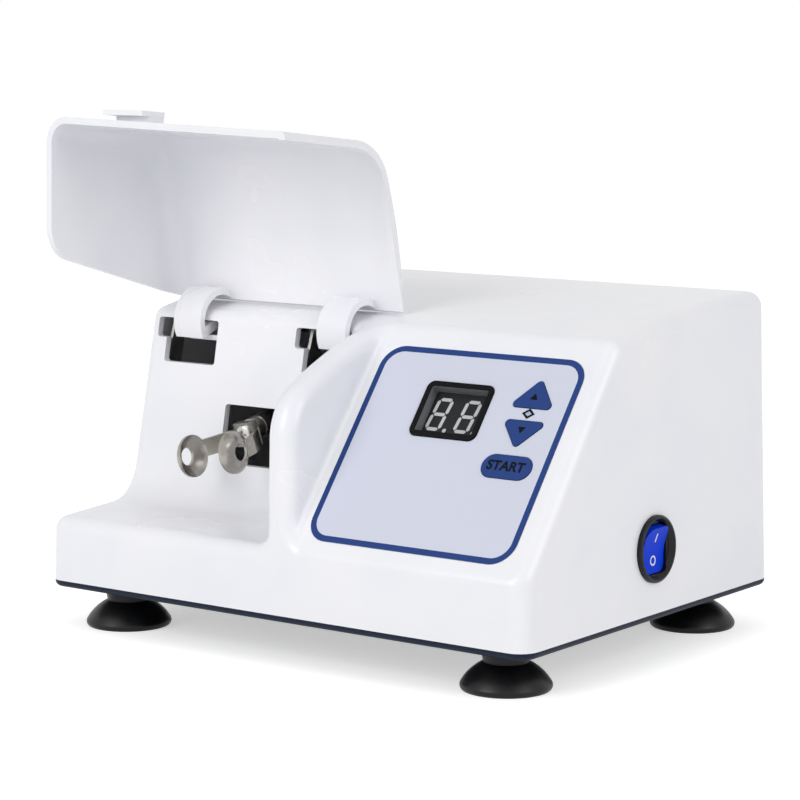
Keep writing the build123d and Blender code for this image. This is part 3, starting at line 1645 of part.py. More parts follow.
arm_hub.part.label = "arm_hub"
export_step(arm_hub.part, "parts/arm_hub.step")


def cup_profile():
    """Half section of a dished cup: its hollow faces +x, its axis is the x axis."""
    with BuildSketch() as half:
        with BuildLine():
            rim = cup_dish + cup_wall / 2
            hollow = ThreePointArc(
                (rim, cup_radius), (cup_dish * 0.35, cup_radius * 0.66), (0, cup_hole_radius)
            )
            Line(hollow @ 1, (-cup_wall, cup_hole_radius))
            outside = ThreePointArc(
                (-cup_wall, cup_hole_radius),
                (cup_dish * 0.35 - cup_wall, cup_radius * 0.7),
                (rim - cup_wall, cup_radius),
            )
            Line(outside @ 1, hollow @ 0)
        make_face()
    return half.sketch


prongs = (
    ("left", cup_shift - cup_spread / 2, boss_reach + prong_thickness / 2, 1),
    ("right", cup_shift + cup_spread / 2, boss_reach + prong_thickness * 1.5, -1),
)
cup_half = cup_profile()
for name, cup_x, root_reach, facing in prongs:
    cup_centre = arm_frame.from_local_coords((cup_x, -cup_reach, -cup_drop))
    inward = arm_frame.x_dir * facing
    cup_plane = Plane(origin=cup_centre, x_dir=inward, z_dir=arm_back * -1)
    strip_x = cup_x - facing * cup_wall / 2
    with BuildPart() as prong:
        with BuildSketch(arm_frame.offset(-cup_drop - prong_width / 2)):
            with BuildLine() as strip_line:
                FilletPolyline(
                    (facing * boss_radius, -root_reach),
                    (-facing * (boss_radius + prong_shoulder), -root_reach),
                    (strip_x, -cup_reach + cup_radius),
                    (strip_x, -cup_reach + cup_hole_radius + cup_wall),
                    radius=prong_bend,
                )
                offset(amount=prong_thickness / 2, side=Side.BOTH)
            make_face()
        extrude(amount=prong_width)
        # root tab that the clip screw holds against the boss
        with BuildSketch(boss_plane.offset(root_reach - prong_thickness / 2)):
            Rectangle(2 * boss_radius, prong_root)
        extrude(amount=prong_thickness)
        with BuildSketch(cup_plane):
            add(cup_half)
        revolve(axis=Axis(cup_centre, inward))
        with BuildSketch(boss_plane.offset(boss_reach)):
            Circle(clip_screw_radius + screw_clearance / 2)
        extrude(amount=3 * prong_thickness, mode=Mode.SUBTRACT)
        # the strip does not close the hole of the cup or its hollow
        with BuildSketch(Plane(origin=cup_centre, x_dir=arm_back * -1, z_dir=inward)):
            Circle(cup_hole_radius)
        extrude(amount=cup_radius, both=True, mode=Mode.SUBTRACT)
    prong.part.label = f"clip_{name}"
    export_step(prong.part, f"parts/clip_{name}.step")

write_screws(
    "clip_screw",
    [boss_plane.offset(boss_reach + 2 * prong_thickness)],
    clip_screw_head,
    screw_head_height,
    clip_screw_radius,
    2 * prong_thickness + clip_screw_reach - 1,
)

# ---- Spring that keeps the arm from turning with the shaft -------------------------
lug_tip = arm_frame.from_local_coords((0, 0, -lug_reach))
spring_top = lug_tip.Z - spring_gap
spring_foot = seam_height + anchor_height
coil_pitch = (spring_top - spring_foot) / (spring_turns - 1 + 2 * coil_overlap)
spring_point = (skew_x, lug_tip.Y, 0)
with BuildPart() as restraint_spring:
    with BuildSketch(Plane(origin=spring_point, x_dir=(1, 0, 0), z_dir=(0, -1, 0))):
        for turn_index in range(spring_turns):
            with Locations((spring_radius, spring_foot + (turn_index + coil_overlap) * coil_pitch)):
                Ellipse(spring_wire, coil_pitch * coil_overlap)
    revolve(axis=Axis(spring_point, (0, 0, 1)))
restraint_spring.part.label = "restraint_spring"
export_step(restraint_spring.part, "parts/restraint_spring.step")

with BuildPart() as spring_anchor:
    with BuildSketch(Plane.XY.offset(seam_height)):
        with Locations((skew_x, lug_tip.Y)):
            Circle(spring_radius + spring_wire + anchor_rim)
    extrude(amount=anchor_height)
    with BuildSketch(Plane.XY.offset(spring_foot)):
        with Locations((skew_x, lug_tip.Y)):
            Circle(spring_radius - spring_wire - fit_gap)
    extrude(amount=anchor_height)
    fillet(spring_anchor.faces().sort_by(Axis.Z)[-1].edges(), radius=spring_wire)
spring_anchor.part.label = "spring_anchor"
export_step(spring_anchor.part, "parts/spring_anchor.step")

# ---- Power board on the pillars of the base ----------------------------------------
supply_level = seam_height + supply_post_height
with BuildPart() as power_board:
    with BuildSketch(Plane.XY.offset(supply_level)):
        with Locations((supply_x, supply_y)):
            RectangleRounded(supply_width, supply_depth, supply_margin / 2)
        with Locations(*supply_posts):
            Circle(board_screw_radius + screw_clearance, mode=Mode.SUBTRACT)
    extrude(amount=board_thickness)
power_board.part.label = "power_board"
export_step(power_board.part, "parts/power_board.step")

part_level = supply_level + board_thickness
with BuildPart() as transformer:
    core_x = supply_x - supply_width / 5
    with BuildSketch(Plane.XY.offset(part_level + core_rim)):
        with Locations((core_x, supply_y)):
            Rectangle(core_length, core_width)
    extrude(amount=core_height - 2 * core_rim)
    # the bobbin stands out at the top, the bottom and both sides of the core
    with BuildSketch(Plane.XY.offset(part_level)):
        with Locations((core_x, supply_y)):
            RectangleRounded(core_length * 0.62, core_width + 4 * core_rim, core_rim)
    extrude(amount=core_height)
transformer.part.label = "transformer"
export_step(transformer.part, "parts/transformer.step")

with BuildPart() as capacitors:
    with BuildSketch(Plane.XY.offset(part_level)):
        with Locations((supply_x + supply_width / 4, supply_y)):
            with GridLocations(1, capacitor_radius * 2.6, 1, 2):
                Circle(capacitor_radius)
    extrude(amount=capacitor_height)
    fillet(capacitors.faces().sort_by(Axis.Z)[-2:].edges(), radius=capacitor_radius / 6)
capacitors.part.label = "capacitors"
export_step(capacitors.part, "parts/capacitors.step")

write_screws(
    "supply_screws",
    [Plane((x, y, part_level)) for x, y in supply_posts],
    board_screw_radius * 2,
    screw_head_height,
    board_screw_radius,
    board_screw_length,
)

# ---- Mains inlet --------------------------------------------------------------------
with BuildPart() as mains_inlet:
    with BuildSketch(inlet_plane):
        RectangleRounded(inlet_width, inlet_tall, inlet_wall)
    extrude(amount=-inlet_depth)
    with BuildSketch(inlet_plane):
        RectangleRounded(inlet_flange_width, inlet_flange_tall, inlet_key_corner)
    extrude(amount=inlet_flange_thickness)
    fillet(mains_inlet.faces().sort_by(Axis.Y)[-1].edges(), radius=inlet_flange_thickness / 4)
    # the cavity, with the two upper corners cut off
    with BuildSketch(inlet_plane.offset(inlet_flange_thickness)):
        with BuildLine():
            half_width = inlet_width / 2 - inlet_wall
            half_tall = inlet_tall / 2 - inlet_wall
            Polyline(
                (-half_width, -half_tall),
                (half_width, -half_tall),
                (half_width, half_tall - inlet_key_corner),
                (half_width - inlet_key_corner, half_tall),
                (-half_width + inlet_key_corner, half_tall),
                (-half_width, half_tall - inlet_key_corner),
                close=True,
            )
        make_face()
    extrude(amount=-inlet_cavity_depth, mode=Mode.SUBTRACT)
    with BuildSketch(inlet_plane.offset(inlet_flange_thickness)):
        with GridLocations(inlet_screw_spread, 1, 2, 1):
            Circle(inlet_screw_radius + screw_clearance)
    extrude(amount=-inlet_flange_thickness, mode=Mode.SUBTRACT)
mains_inlet.part.label = "mains_inlet"
export_step(mains_inlet.part, "parts/mains_inlet.step")

cavity_floor = inlet_plane.offset(inlet_flange_thickness - inlet_cavity_depth)
pin_points = [(-pin_spread, -pin_drop), (0, pin_drop), (pin_spread, -pin_drop)]
with BuildPart() as inlet_pins:
    with BuildSketch(cavity_floor):
        with Locations(*pin_points):
            Rectangle(pin_width, pin_tall)
    extrude(amount=pin_length)
    chamfer(inlet_pins.faces().sort_by(Axis.Y)[-3:].edges(), length=pin_width / 5)
    with BuildSketch(inlet_plane.offset(-inlet_depth)):
        with Locations(*pin_points):
            Rectangle(tab_blade, tab_blade_width)
    extrude(amount=-tab_blade_length)
inlet_pins.part.label = "inlet_pins"
export_step(inlet_pins.part, "parts/inlet_pins.step")

write_screws(
    "inlet_screws",
    [
        Plane(
            origin=inlet_plane.from_local_coords(
                (side * inlet_screw_spread / 2, 0, inlet_flange_thickness)
            ),
            x_dir=(1, 0, 0),
            z_dir=inlet_plane.z_dir,
        )
        for side in (-1, 1)
    ],
    inlet_screw_radius * 1.9,
    screw_head_height,
    inlet_screw_radius,
    inlet_flange_thickness + casing_wall + nut_height + thread_past_nut,
)
with BuildPart() as inlet_nuts:
    with BuildSketch(inlet_plane.offset(-casing_wall)):
        with GridLocations(inlet_screw_spread, 1, 2, 1):
            RegularPolygon(nut_radius, 6)
            Circle(inlet_screw_radius, mode=Mode.SUBTRACT)
    extrude(amount=-nut_height)
inlet_nuts.part.label = "inlet_nuts"
export_step(inlet_nuts.part, "parts/inlet_nuts.step")

# ---- Fuse holder, its bayonet cap and the fuse ---------------------------------------
fuse_reach = fuse_plug_depth + fuse_length - fuse_socket
with BuildPart() as fuse_holder:
    with BuildSketch(fuse_plane):
        Circle(fuse_flange_radius)
    extrude(amount=fuse_flange_thickness)
    fillet(fuse_holder.faces().sort_by(Axis.Y)[-1].edges(), radius=fuse_flange_thickness / 3)
    with BuildSketch(fuse_plane):
        Circle(fuse_holder_radius)
    extrude(amount=-fuse_holder_depth)
    with BuildSketch(fuse_plane.offset(fuse_flange_thickness)):
        Circle(fuse_cap_radius + shaft_running_gap)
    extrude(amount=-fuse_flange_thickness - fuse_plug_depth - fit_gap, mode=Mode.SUBTRACT)
    with BuildSketch(fuse_plane):
        Circle(fuse_radius + shaft_running_gap)
    extrude(amount=-fuse_reach - fit_gap, mode=Mode.SUBTRACT)
    # locking ring and the two blade terminals
    with BuildSketch(fuse_plane.offset(-casing_wall)):
        RegularPolygon(fuse_flange_radius, 6)
        Circle(fuse_holder_radius, mode=Mode.SUBTRACT)
    extrude(amount=-fuse_flange_thickness * 1.5)
    with BuildSketch(fuse_plane.offset(-fuse_holder_depth)):
        Rectangle(tab_blade_width, tab_blade)
    extrude(amount=-tab_blade_length)
fuse_holder.part.label = "fuse_holder"
export_step(fuse_holder.part, "parts/fuse_holder.step")

cap_seat = fuse_flange_thickness + key_slack
with BuildPart() as fuse_cap:
    with BuildSketch(fuse_plane.offset(cap_seat)):
        Circle(fuse_head_radius)
    extrude(amount=fuse_cap_proud)
    fillet(fuse_cap.faces().sort_by(Axis.Y)[-1].edges(), radius=fuse_cap_proud / 6)
    with BuildSketch(fuse_plane.offset(cap_seat)):
        Circle(fuse_cap_radius)
    extrude(amount=-cap_seat - fuse_plug_depth)
    # grip flutes, driver slot and the socket for the fuse
    with BuildSketch(fuse_plane.offset(cap_seat)):
        with PolarLocations(fuse_head_radius + grip_radius / 2, grip_count):
            Circle(grip_radius)
    extrude(amount=fuse_cap_proud, mode=Mode.SUBTRACT)
    with BuildSketch(fuse_plane.offset(cap_seat + fuse_cap_proud)):
        Rectangle(fuse_head_radius * 1.3, slot_width * 1.5)
    extrude(amount=-fuse_cap_proud / 4, mode=Mode.SUBTRACT)
    with BuildSketch(fuse_plane.offset(-fuse_plug_depth)):
        Circle(fuse_radius)
    extrude(amount=fuse_socket, mode=Mode.SUBTRACT)
fuse_cap.part.label = "fuse_cap"
export_step(fuse_cap.part, "parts/fuse_cap.step")

with BuildPart() as fuse:
    with BuildSketch(fuse_plane.offset(-fuse_plug_depth + fuse_socket)):
        Circle(fuse_radius)
    extrude(amount=-fuse_length)
    # the glass between the two end caps is a little thinner
    with BuildSketch(fuse_plane.offset(-fuse_plug_depth + fuse_socket - fuse_end)):
        Circle(fuse_radius + fit_gap)
        Circle(fuse_radius - fit_gap, mode=Mode.SUBTRACT)
    extrude(amount=-fuse_length + 2 * fuse_end, mode=Mode.SUBTRACT)
fuse.part.label = "fuse"
export_step(fuse.part, "parts/fuse.step")
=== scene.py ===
# %% [markdown]
# # A dental amalgamator, dressed for the studio
# This bench machine shakes a small capsule of dental filling until it is mixed. The solid
# model already gives every housing, hinge and shaft. What is left is what the eye reads:
# the gloss of moulded plastic, the print on the panel, the unlit digits behind the window,
# brushed and polished steel. Each step first says what the real thing is and how it is made,
# and then makes it in a few short lines.

import math

import bmesh
import bpy
from mathutils import Matrix, Vector
from mathutils.bvhtree import BVHTree


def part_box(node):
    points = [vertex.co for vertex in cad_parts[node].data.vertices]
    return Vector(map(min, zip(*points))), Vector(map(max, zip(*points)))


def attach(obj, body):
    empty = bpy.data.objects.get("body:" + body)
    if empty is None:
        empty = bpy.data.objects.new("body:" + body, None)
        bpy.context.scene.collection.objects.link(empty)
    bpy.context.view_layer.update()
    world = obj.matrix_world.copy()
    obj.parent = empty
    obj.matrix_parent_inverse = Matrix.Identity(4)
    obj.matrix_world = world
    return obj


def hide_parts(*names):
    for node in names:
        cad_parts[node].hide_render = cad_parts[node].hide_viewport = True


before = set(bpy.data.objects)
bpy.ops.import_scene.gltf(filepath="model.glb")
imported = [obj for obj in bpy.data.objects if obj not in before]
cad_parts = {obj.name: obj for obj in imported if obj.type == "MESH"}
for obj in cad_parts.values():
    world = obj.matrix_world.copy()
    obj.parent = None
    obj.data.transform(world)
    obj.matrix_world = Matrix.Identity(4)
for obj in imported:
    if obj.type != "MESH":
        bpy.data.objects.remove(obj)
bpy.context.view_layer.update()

# %% [markdown]
# ## The camera
# A product shot of this size is taken from about a metre with a long lens, so that upright
# edges stay nearly upright. The camera stands to the front right, a little above the panel.

# %% Place the camera
camera_data = bpy.data.cameras.new("studio_camera")
camera_data.lens = 123.12
camera_data.sensor_width = 36.0
camera_data.clip_end = 20.0
camera = bpy.data.objects.new("studio_camera", camera_data)
camera.location = (0.5702, -0.7756, 0.212)
camera.rotation_euler = (math.radians(82.26), 0.0, math.radians(36.54))
bpy.context.collection.objects.link(camera)
bpy.context.scene.camera = camera
bpy.context.scene.view_settings.view_transform = "Standard"
print("camera at", tuple(round(value, 3) for value in camera.location))

# %% [markdown]
# ## Colours and nodes
# Paint charts give colours as sRGB hex values, while the renderer works with linear light.
# One function turns the first into the second. A second one adds a node, fills its inputs and
# joins its links, so that each material reads as a short list of what it does to the surface.


# %% Two small helpers for materials
def linear(hex_value):
    """sRGB hex such as "F2F3F6" as linear RGBA."""
    channels = [int(hex_value[index : index + 2], 16) / 255 for index in (0, 2, 4)]
    return (*[c / 12.92 if c <= 0.04045 else ((c + 0.055) / 1.055) ** 2.4 for c in channels], 1.0)


def add_node(tree, kind, inputs=None, **settings):
    """Add a node; an input given as a socket is linked, any other value is set on it."""
    node = tree.nodes.new(kind)
    for name, value in settings.items():
        setattr(node, name, value)
    for name, value in (inputs or {}).items():
        socket = node.inputs[name]
        if isinstance(value, bpy.types.NodeSocket):
            tree.links.new(value, socket)
        else:
            socket.default_value = value
    return node


print("white as linear light:", [round(value, 3) for value in linear("F2F3F6")])

# %% [markdown]
# ## Starting a surface
# Every finish here begins the same way: a principled shader with its constants, the object's
# own coordinates in metres, and a first noise whose scale is worked out from a real size in
# millimetres. What differs is what the noise then drives.


# %% A principled surface with object coordinates
def start_surface(name, colour, roughness, metallic=0.0, ior=None, gloss_level=0.5):
    """A new material with its shader set; returns material, tree, shader and coordinates."""
    material = bpy.data.materials.new(name)
    material.use_nodes = True
    material.diffuse_color = linear(colour)
    tree = material.node_tree
    shader = tree.nodes["Principled BSDF"]
    shader.inputs["Base Color"].default_value = linear(colour)
    shader.inputs["Roughness"].default_value = roughness
    shader.inputs["Metallic"].default_value = metallic
    shader.inputs["Specular IOR Level"].default_value = gloss_level
    if ior:
        shader.inputs["IOR"].default_value = ior
    place = add_node(tree, "ShaderNodeTexCoord").outputs["Object"]
    return material, tree, shader, place


def per_mm(millimetres):
    """Noise scale for features that are about so many millimetres across."""
    return 1000.0 / millimetres


print("noise scale for 2 mm features:", per_mm(2.0))

# %% [markdown]
# ## Four strokes that every finish shares
# A moulded, printed or rolled face is never quite even. One stroke draws the unevenness at a
# real size, one raises it as a fine relief, and two let the gloss and the colour follow it.
# A noise seldom leaves the middle of its range, so most finishes spread over that part alone.


# %% Noise, relief, gloss and tint
usual_low, usual_high = 0.3, 0.7


def noise_of(tree, place, size_mm, detail=2.0):
    """A noise whose features are about so many millimetres across."""
    inputs = {"Vector": place, "Scale": per_mm(size_mm), "Detail": detail}
    return add_node(tree, "ShaderNodeTexNoise", inputs).outputs["Fac"]


def raise_relief(tree, shader, height, strength, distance):
    """Let a height tilt the surface a little; the distance is in metres."""
    inputs = {"Height": height, "Strength": strength, "Distance": distance}
    relief = add_node(tree, "ShaderNodeBump", inputs)
    tree.links.new(relief.outputs["Normal"], shader.inputs["Normal"])


def vary_gloss(tree, shader, value, smooth, rough, low=0.0, high=1.0):
    """Roughness that runs from smooth to rough as the value runs from low to high."""
    inputs = {"Value": value, "From Min": low, "From Max": high, "To Min": smooth, "To Max": rough}
    spread = add_node(tree, "ShaderNodeMapRange", inputs)
    tree.links.new(spread.outputs["Result"], shader.inputs["Roughness"])


def vary_tint(tree, shader, value, first, last, low=0.0, high=1.0):
    """Base colour that runs from the first to the last hex value."""
    ramp = add_node(tree, "ShaderNodeValToRGB", {"Fac": value})
    for element, position, colour in zip(ramp.color_ramp.elements, (low, high), (first, last)):
        element.position = position
        element.color = linear(colour)
    tree.links.new(ramp.outputs["Color"], shader.inputs["Base Color"])


print("every finish is built from these strokes")

# %% [markdown]
# ## Glossy white ABS
# The casing and the lid are injection moulded ABS from a polished mould. The eye gets a bright
# white with a breath of blue, a sharp but soft-edged gloss, and a very faint unevenness where
# the melt cooled over ribs and posts. The unevenness is drawn a little coarser than it is.

# %% White moulded ABS
white_abs, tree, shader, place = start_surface("moulded_white_abs", "F0F1F5", 0.24, ior=1.45)
cooling = noise_of(tree, place, 38.0)
vary_tint(tree, shader, cooling, "EEEFF4", "F3F3F6", low=0.35, high=0.65)
vary_gloss(tree, shader, cooling, 0.2, 0.28, usual_low, usual_high)
skin = noise_of(tree, place, 1.6, detail=3.0)
raise_relief(tree, shader, skin, strength=0.03, distance=0.0002)
print("made", white_abs.name)

# %% [markdown]
# ## Navy ABS and black rubber
# The base tub is the same plastic in navy with a finer spark-eroded grain. The suction feet
# are moulded rubber with the shine of a polished mould and a thin bloom that lifts the black
# where the skirt is handled.

# %% Navy ABS
navy_abs, tree, shader, place = start_surface(
    "grained_navy_abs", "111C30", 0.5, ior=1.45, gloss_level=0.2
)
grain = noise_of(tree, place, 0.7, detail=4.0)
vary_tint(tree, shader, grain, "0E1728", "152137")
raise_relief(tree, shader, grain, strength=0.18, distance=0.0001)
print("made", navy_abs.name)

# %% Black moulded rubber
black_rubber, tree, shader, place = start_surface(
    "moulded_black_rubber", "0A0A0B", 0.36, ior=1.5, gloss_level=0.3
)
bloom = noise_of(tree, place, 6.0, detail=5.0)
vary_tint(tree, shader, bloom, "060607", "111113")
vary_gloss(tree, shader, bloom, 0.3, 0.46, usual_low, usual_high)
print("made", black_rubber.name)

# %% [markdown]
# ## Printed polyester film
# The panel overlay is a clear polyester sheet, printed on its back and textured on its front,
# so its print looks slightly deep under a fine matt grain. The film and its inks share the
# grain, and only the ink colour changes.


# %% Film and its inks
def film_surface(name, colour, roughness, gloss_level=0.5):
    """Screen printed polyester with a fine grain of 0.45 mm."""
    material, tree, shader, place = start_surface(
        name, colour, roughness, ior=1.45, gloss_level=gloss_level
    )
    grain = noise_of(tree, place, 0.45)
    raise_relief(tree, shader, grain, strength=0.12, distance=0.00005)
    vary_gloss(tree, shader, noise_of(tree, place, 20.0), roughness - 0.04, roughness + 0.04)
    return material


film_pale = film_surface("printed_film_pale", "CFD3E2", 0.42)
ink_blue = film_surface("printed_ink_blue", "1E3C7C", 0.5, 0.25)
ink_black = film_surface("printed_ink_black", "08090C", 0.55, 0.1)
ink_white = film_surface("printed_ink_white", "E9ECF2", 0.35)
print("made", film_pale.name, ink_blue.name, ink_black.name, ink_white.name)

# %% [markdown]
# ## Keys, switch and window
# The rocker is glossy blue nylon, its bezel black nylon with a duller skin. The display window
# is framed in black polished acrylic, and the display module behind it is a duller dark grey.


# %% Small mouldings
def moulded_surface(name, colour, roughness, grain_mm, strength, gloss_level=0.5):
    """An injection moulded plastic with its mould grain."""
    material, tree, shader, place = start_surface(
        name, colour, roughness, ior=1.5, gloss_level=gloss_level
    )
    grain = noise_of(tree, place, grain_mm, detail=3.0)
    raise_relief(tree, shader, grain, strength, distance=0.0001)
    vary_gloss(tree, shader, grain, max(roughness - 0.05, 0.04), roughness + 0.05)
    return material


key_film = film_surface("domed_key_film_blue", "1E3C7C", 0.5, 0.25)
blue_nylon = moulded_surface("moulded_blue_nylon", "063CD8", 0.35, 1.2, 0.03, 0.06)
black_nylon = moulded_surface("moulded_black_nylon", "0B0B0C", 0.42, 0.8, 0.12, 0.3)
black_acrylic = moulded_surface("polished_black_acrylic", "050506", 0.3, 3.0, 0.01, 0.12)
module_grey = moulded_surface("display_module_grey", "262729", 0.4, 2.0, 0.03, 0.15)
shroud_grey = moulded_surface("moulded_shroud_grey", "6E6F73", 0.35, 2.0, 0.03)
segment_grey = moulded_surface("diffused_segment_epoxy", "C6C7C6", 0.45, 0.6, 0.05)
lamp_epoxy = moulded_surface("clear_lamp_epoxy", "A9B8D2", 0.15, 2.0, 0.02)
filled_nylon = moulded_surface("glass_filled_dark_nylon", "202124", 0.5, 0.5, 0.25)
print("made the small mouldings")

# %% [markdown]
# ## Steels
# The swinging arm is turned from stainless steel and tumbled to a satin grey, which leaves its
# face finely uneven. The two clips are pressed from spring steel and polished, so they mirror
# the room with slight waves. Brackets and screws are bright zinc plated, which mottles softly.


# %% Metals
def metal_surface(name, colour, roughness, mottle_mm, spread, wave_mm, wave):
    """A metal whose roughness varies in patches and whose face waves a little."""
    material, tree, shader, place = start_surface(name, colour, roughness, metallic=1.0)
    patch = noise_of(tree, place, mottle_mm, detail=4.0)
    smoothest = max(roughness - spread, 0.03)
    vary_gloss(tree, shader, patch, smoothest, roughness + spread, usual_low, usual_high)
    raise_relief(tree, shader, noise_of(tree, place, wave_mm), strength=wave, distance=0.0002)
    return material


satin_steel = metal_surface("tumbled_stainless_steel", "A5A19B", 0.3, 4.0, 0.05, 0.7, 0.05)
spring_steel = metal_surface("pressed_spring_steel", "A19D96", 0.27, 6.0, 0.04, 6.0, 0.08)
zinc_steel = metal_surface("zinc_plated_steel", "BDBDBA", 0.32, 4.0, 0.1, 1.5, 0.1)
ground_steel = metal_surface("ground_bearing_steel", "B4B5B6", 0.14, 3.0, 0.04, 0.6, 0.04)
turned_brass = metal_surface("turned_brass", "C9A15A", 0.24, 2.0, 0.08, 0.8, 0.06)
coil_steel = metal_surface("drawn_coil_wire", "9C9A96", 0.28, 1.5, 0.08, 1.0, 0.08)
print("made the metals")

# %% [markdown]
# ## Inside finishes
# The motor can is drawn steel under grey enamel, which pulls into a slight orange peel. The
# boards are glass epoxy laminate under a green mask, through which the weave shows.

# %% Enamel and board
grey_enamel = moulded_surface("grey_enamelled_steel", "3A3D42", 0.32, 1.4, 0.2)
green_mask, tree, shader, place = start_surface("green_masked_laminate", "1D5B38", 0.28, ior=1.55)
weave = add_node(
    tree,
    "ShaderNodeTexBrick",
    {
        "Vector": place,
        "Color1": linear("1A5433"),
        "Color2": linear("216340"),
        "Mortar": linear("184D2F"),
        "Scale": per_mm(4.0),
        "Mortar Size": 0.02,
    },
)
tree.links.new(weave.outputs["Color"], shader.inputs["Base Color"])
fuse_glass = bpy.data.materials.new("fuse_tube_glass")
fuse_glass.use_nodes = True
glass_shader = fuse_glass.node_tree.nodes["Principled BSDF"]
glass_shader.inputs["Base Color"].default_value = linear("E8F0EE")
glass_shader.inputs["Roughness"].default_value = 0.06
glass_shader.inputs["IOR"].default_value = 1.5
print("made", grey_enamel.name, green_mask.name)

# %% [markdown]
# ## Dress the solid model
# Each node of the solid model keeps its shape and takes its real material. A short list says
# which nodes share a finish.

# %% Give every node its material
finishes = {
    "casing": white_abs,
    "lid": white_abs,
    "base_plate": navy_abs,
    "damper_bushes": black_rubber,
    "panel_overlay": film_pale,
    "display_window": black_acrylic,
    "display_module": module_grey,
    "up_key": key_film,
    "down_key": key_film,
    "start_key": key_film,
    "status_led": lamp_epoxy,
    "rocker": blue_nylon,
    "rocker_bezel": black_nylon,
    "mains_inlet": black_nylon,
    "fuse_holder": black_nylon,
    "fuse_cap": black_nylon,
    "fuse": fuse_glass,
    "inlet_pins": turned_brass,
    "hinge_screws": turned_brass,
    "hinge_rod": satin_steel,
    "rod_clips": satin_steel,
    "arm_hub": satin_steel,
    "clip_left": spring_steel,
    "clip_right": spring_steel,
    "clip_screw": zinc_steel,
    "restraint_spring": coil_steel,
    "drive_shaft": ground_steel,
    "bearing_inner_ring": ground_steel,
    "bearing_outer_ring": ground_steel,
    "bearing_balls": ground_steel,
    "skew_sleeve": satin_steel,
    "set_screw": filled_nylon,
    "motor": grey_enamel,
    "control_board": green_mask,
    "power_board": green_mask,
    "key_switches": filled_nylon,
    "interlock_sensor": filled_nylon,
    "transformer": filled_nylon,
    "capacitors": filled_nylon,
    "lid_magnet": ground_steel,
}
for name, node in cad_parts.items():
    finish = black_rubber if name.startswith("suction_foot") else finishes.get(name, zinc_steel)
    node.data.materials.clear()
    node.data.materials.append(finish)
print("dressed", len(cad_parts), "nodes")

# %% [markdown]
# ## The panel's own coordinates
# The print follows the slope, so it is drawn flat in millimetres, x to the right from the ear
# and y up the slope, and then laid on the panel by one matrix.

# %% The panel's matrix
panel_foot = Vector((0.0076, -0.078033, 0.0393))
panel_angle = math.atan2(0.0707, 0.055333)
panel_matrix = (
    Matrix.Translation(panel_foot) @ Matrix.Rotation(panel_angle, 4, "X") @ Matrix.Scale(0.001, 4)
)
print("panel slopes at", round(math.degrees(panel_angle), 2), "degrees")


# %% Flat prints made from outlines
def finish_object(name, mesh, material, body):
    """Link a finished mesh at the origin, give it its finish and let it ride on its body."""
    mesh.materials.clear()
    mesh.materials.append(material)
    piece = bpy.data.objects.new(name, mesh)
    bpy.context.collection.objects.link(piece)
    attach(piece, body)
    return piece


def evaluated_mesh(source, matrix):
    """A plain mesh of a curve or text, with its place applied; the source is removed."""
    bpy.context.view_layer.update()
    graph = bpy.context.evaluated_depsgraph_get()
    mesh = bpy.data.meshes.new_from_object(source.evaluated_get(graph), depsgraph=graph)
    mesh.transform(matrix)
    mesh.update()
    bpy.data.objects.remove(source)
    return mesh


def flat_outline(loops, thickness):
    """A filled flat curve from closed loops of points, with a thickness either way."""
    curve = bpy.data.curves.new("outline", "CURVE")
    curve.dimensions = "2D"
    curve.fill_mode = "BOTH"
    curve.extrude = thickness
    for loop in loops:
        spline = curve.splines.new("POLY")
        spline.points.add(len(loop) - 1)
        for point, (x, y) in zip(spline.points, loop):
            point.co = (x, y, 0.0, 1.0)
        spline.use_cyclic_u = True
    outline = bpy.data.objects.new("outline", curve)
    bpy.context.collection.objects.link(outline)
    return outline


def rounded_loop(low, high, radius, steps=16):
    """Points round a rectangle with round corners."""
    points = []
    for index, (cx, cy) in enumerate(
        (
            (high[0] - radius, high[1] - radius),
            (low[0] + radius, high[1] - radius),
            (low[0] + radius, low[1] + radius),
            (high[0] - radius, low[1] + radius),
        )
    ):
        for step in range(steps + 1):
            angle = math.radians(90 * (index + step / steps))
            points.append((cx + radius * math.cos(angle), cy + radius * math.sin(angle)))
    return points


print("a rounded loop has", len(rounded_loop((0, 0), (10, 10), 2)), "points")

# %% [markdown]
# ## Trees that repeat or follow a path
# A coil follows a rule and the two digits repeat one shape, so each comes from a small tree of
# geometry nodes with its sizes as named inputs. The tree runs once, and its result is kept as a
# plain mesh that later steps can dress and move like any other.


# %% Start a tree, and bake one
def start_tree(name, sizes):
    """A geometry tree with a mesh input, named number inputs and a mesh output."""
    tree = bpy.data.node_groups.new(name, "GeometryNodeTree")
    tree.interface.new_socket("Geometry", in_out="INPUT", socket_type="NodeSocketGeometry")
    for size_name, kind in sizes.items():
        tree.interface.new_socket(size_name, in_out="INPUT", socket_type=kind)
    tree.interface.new_socket("Geometry", in_out="OUTPUT", socket_type="NodeSocketGeometry")
    return tree, tree.nodes.new("NodeGroupInput"), tree.nodes.new("NodeGroupOutput")


def bake_tree(tree, mesh, sizes):
    """Run a tree on a mesh with the given sizes and return its result as a plain mesh."""
    carrier = bpy.data.objects.new("carrier", mesh)
    bpy.context.collection.objects.link(carrier)
    modifier = carrier.modifiers.new(tree.name, "NODES")
    modifier.node_group = tree
    for item in tree.interface.items_tree:
        if item.in_out == "INPUT" and item.name in sizes:
            modifier[item.identifier] = sizes[item.name]
    bpy.context.view_layer.update()
    graph = bpy.context.evaluated_depsgraph_get()
    baked = bpy.data.meshes.new_from_object(carrier.evaluated_get(graph), depsgraph=graph)
    bpy.data.objects.remove(carrier)
    return baked


print("trees are baked to plain meshes")

# %% [markdown]
# ## Border print
# A band of blue ink runs round the film, a little inside its edge. Ink is only a few hundredths
# of a millimetre thick, so the band is a flat ring that barely stands on the film.

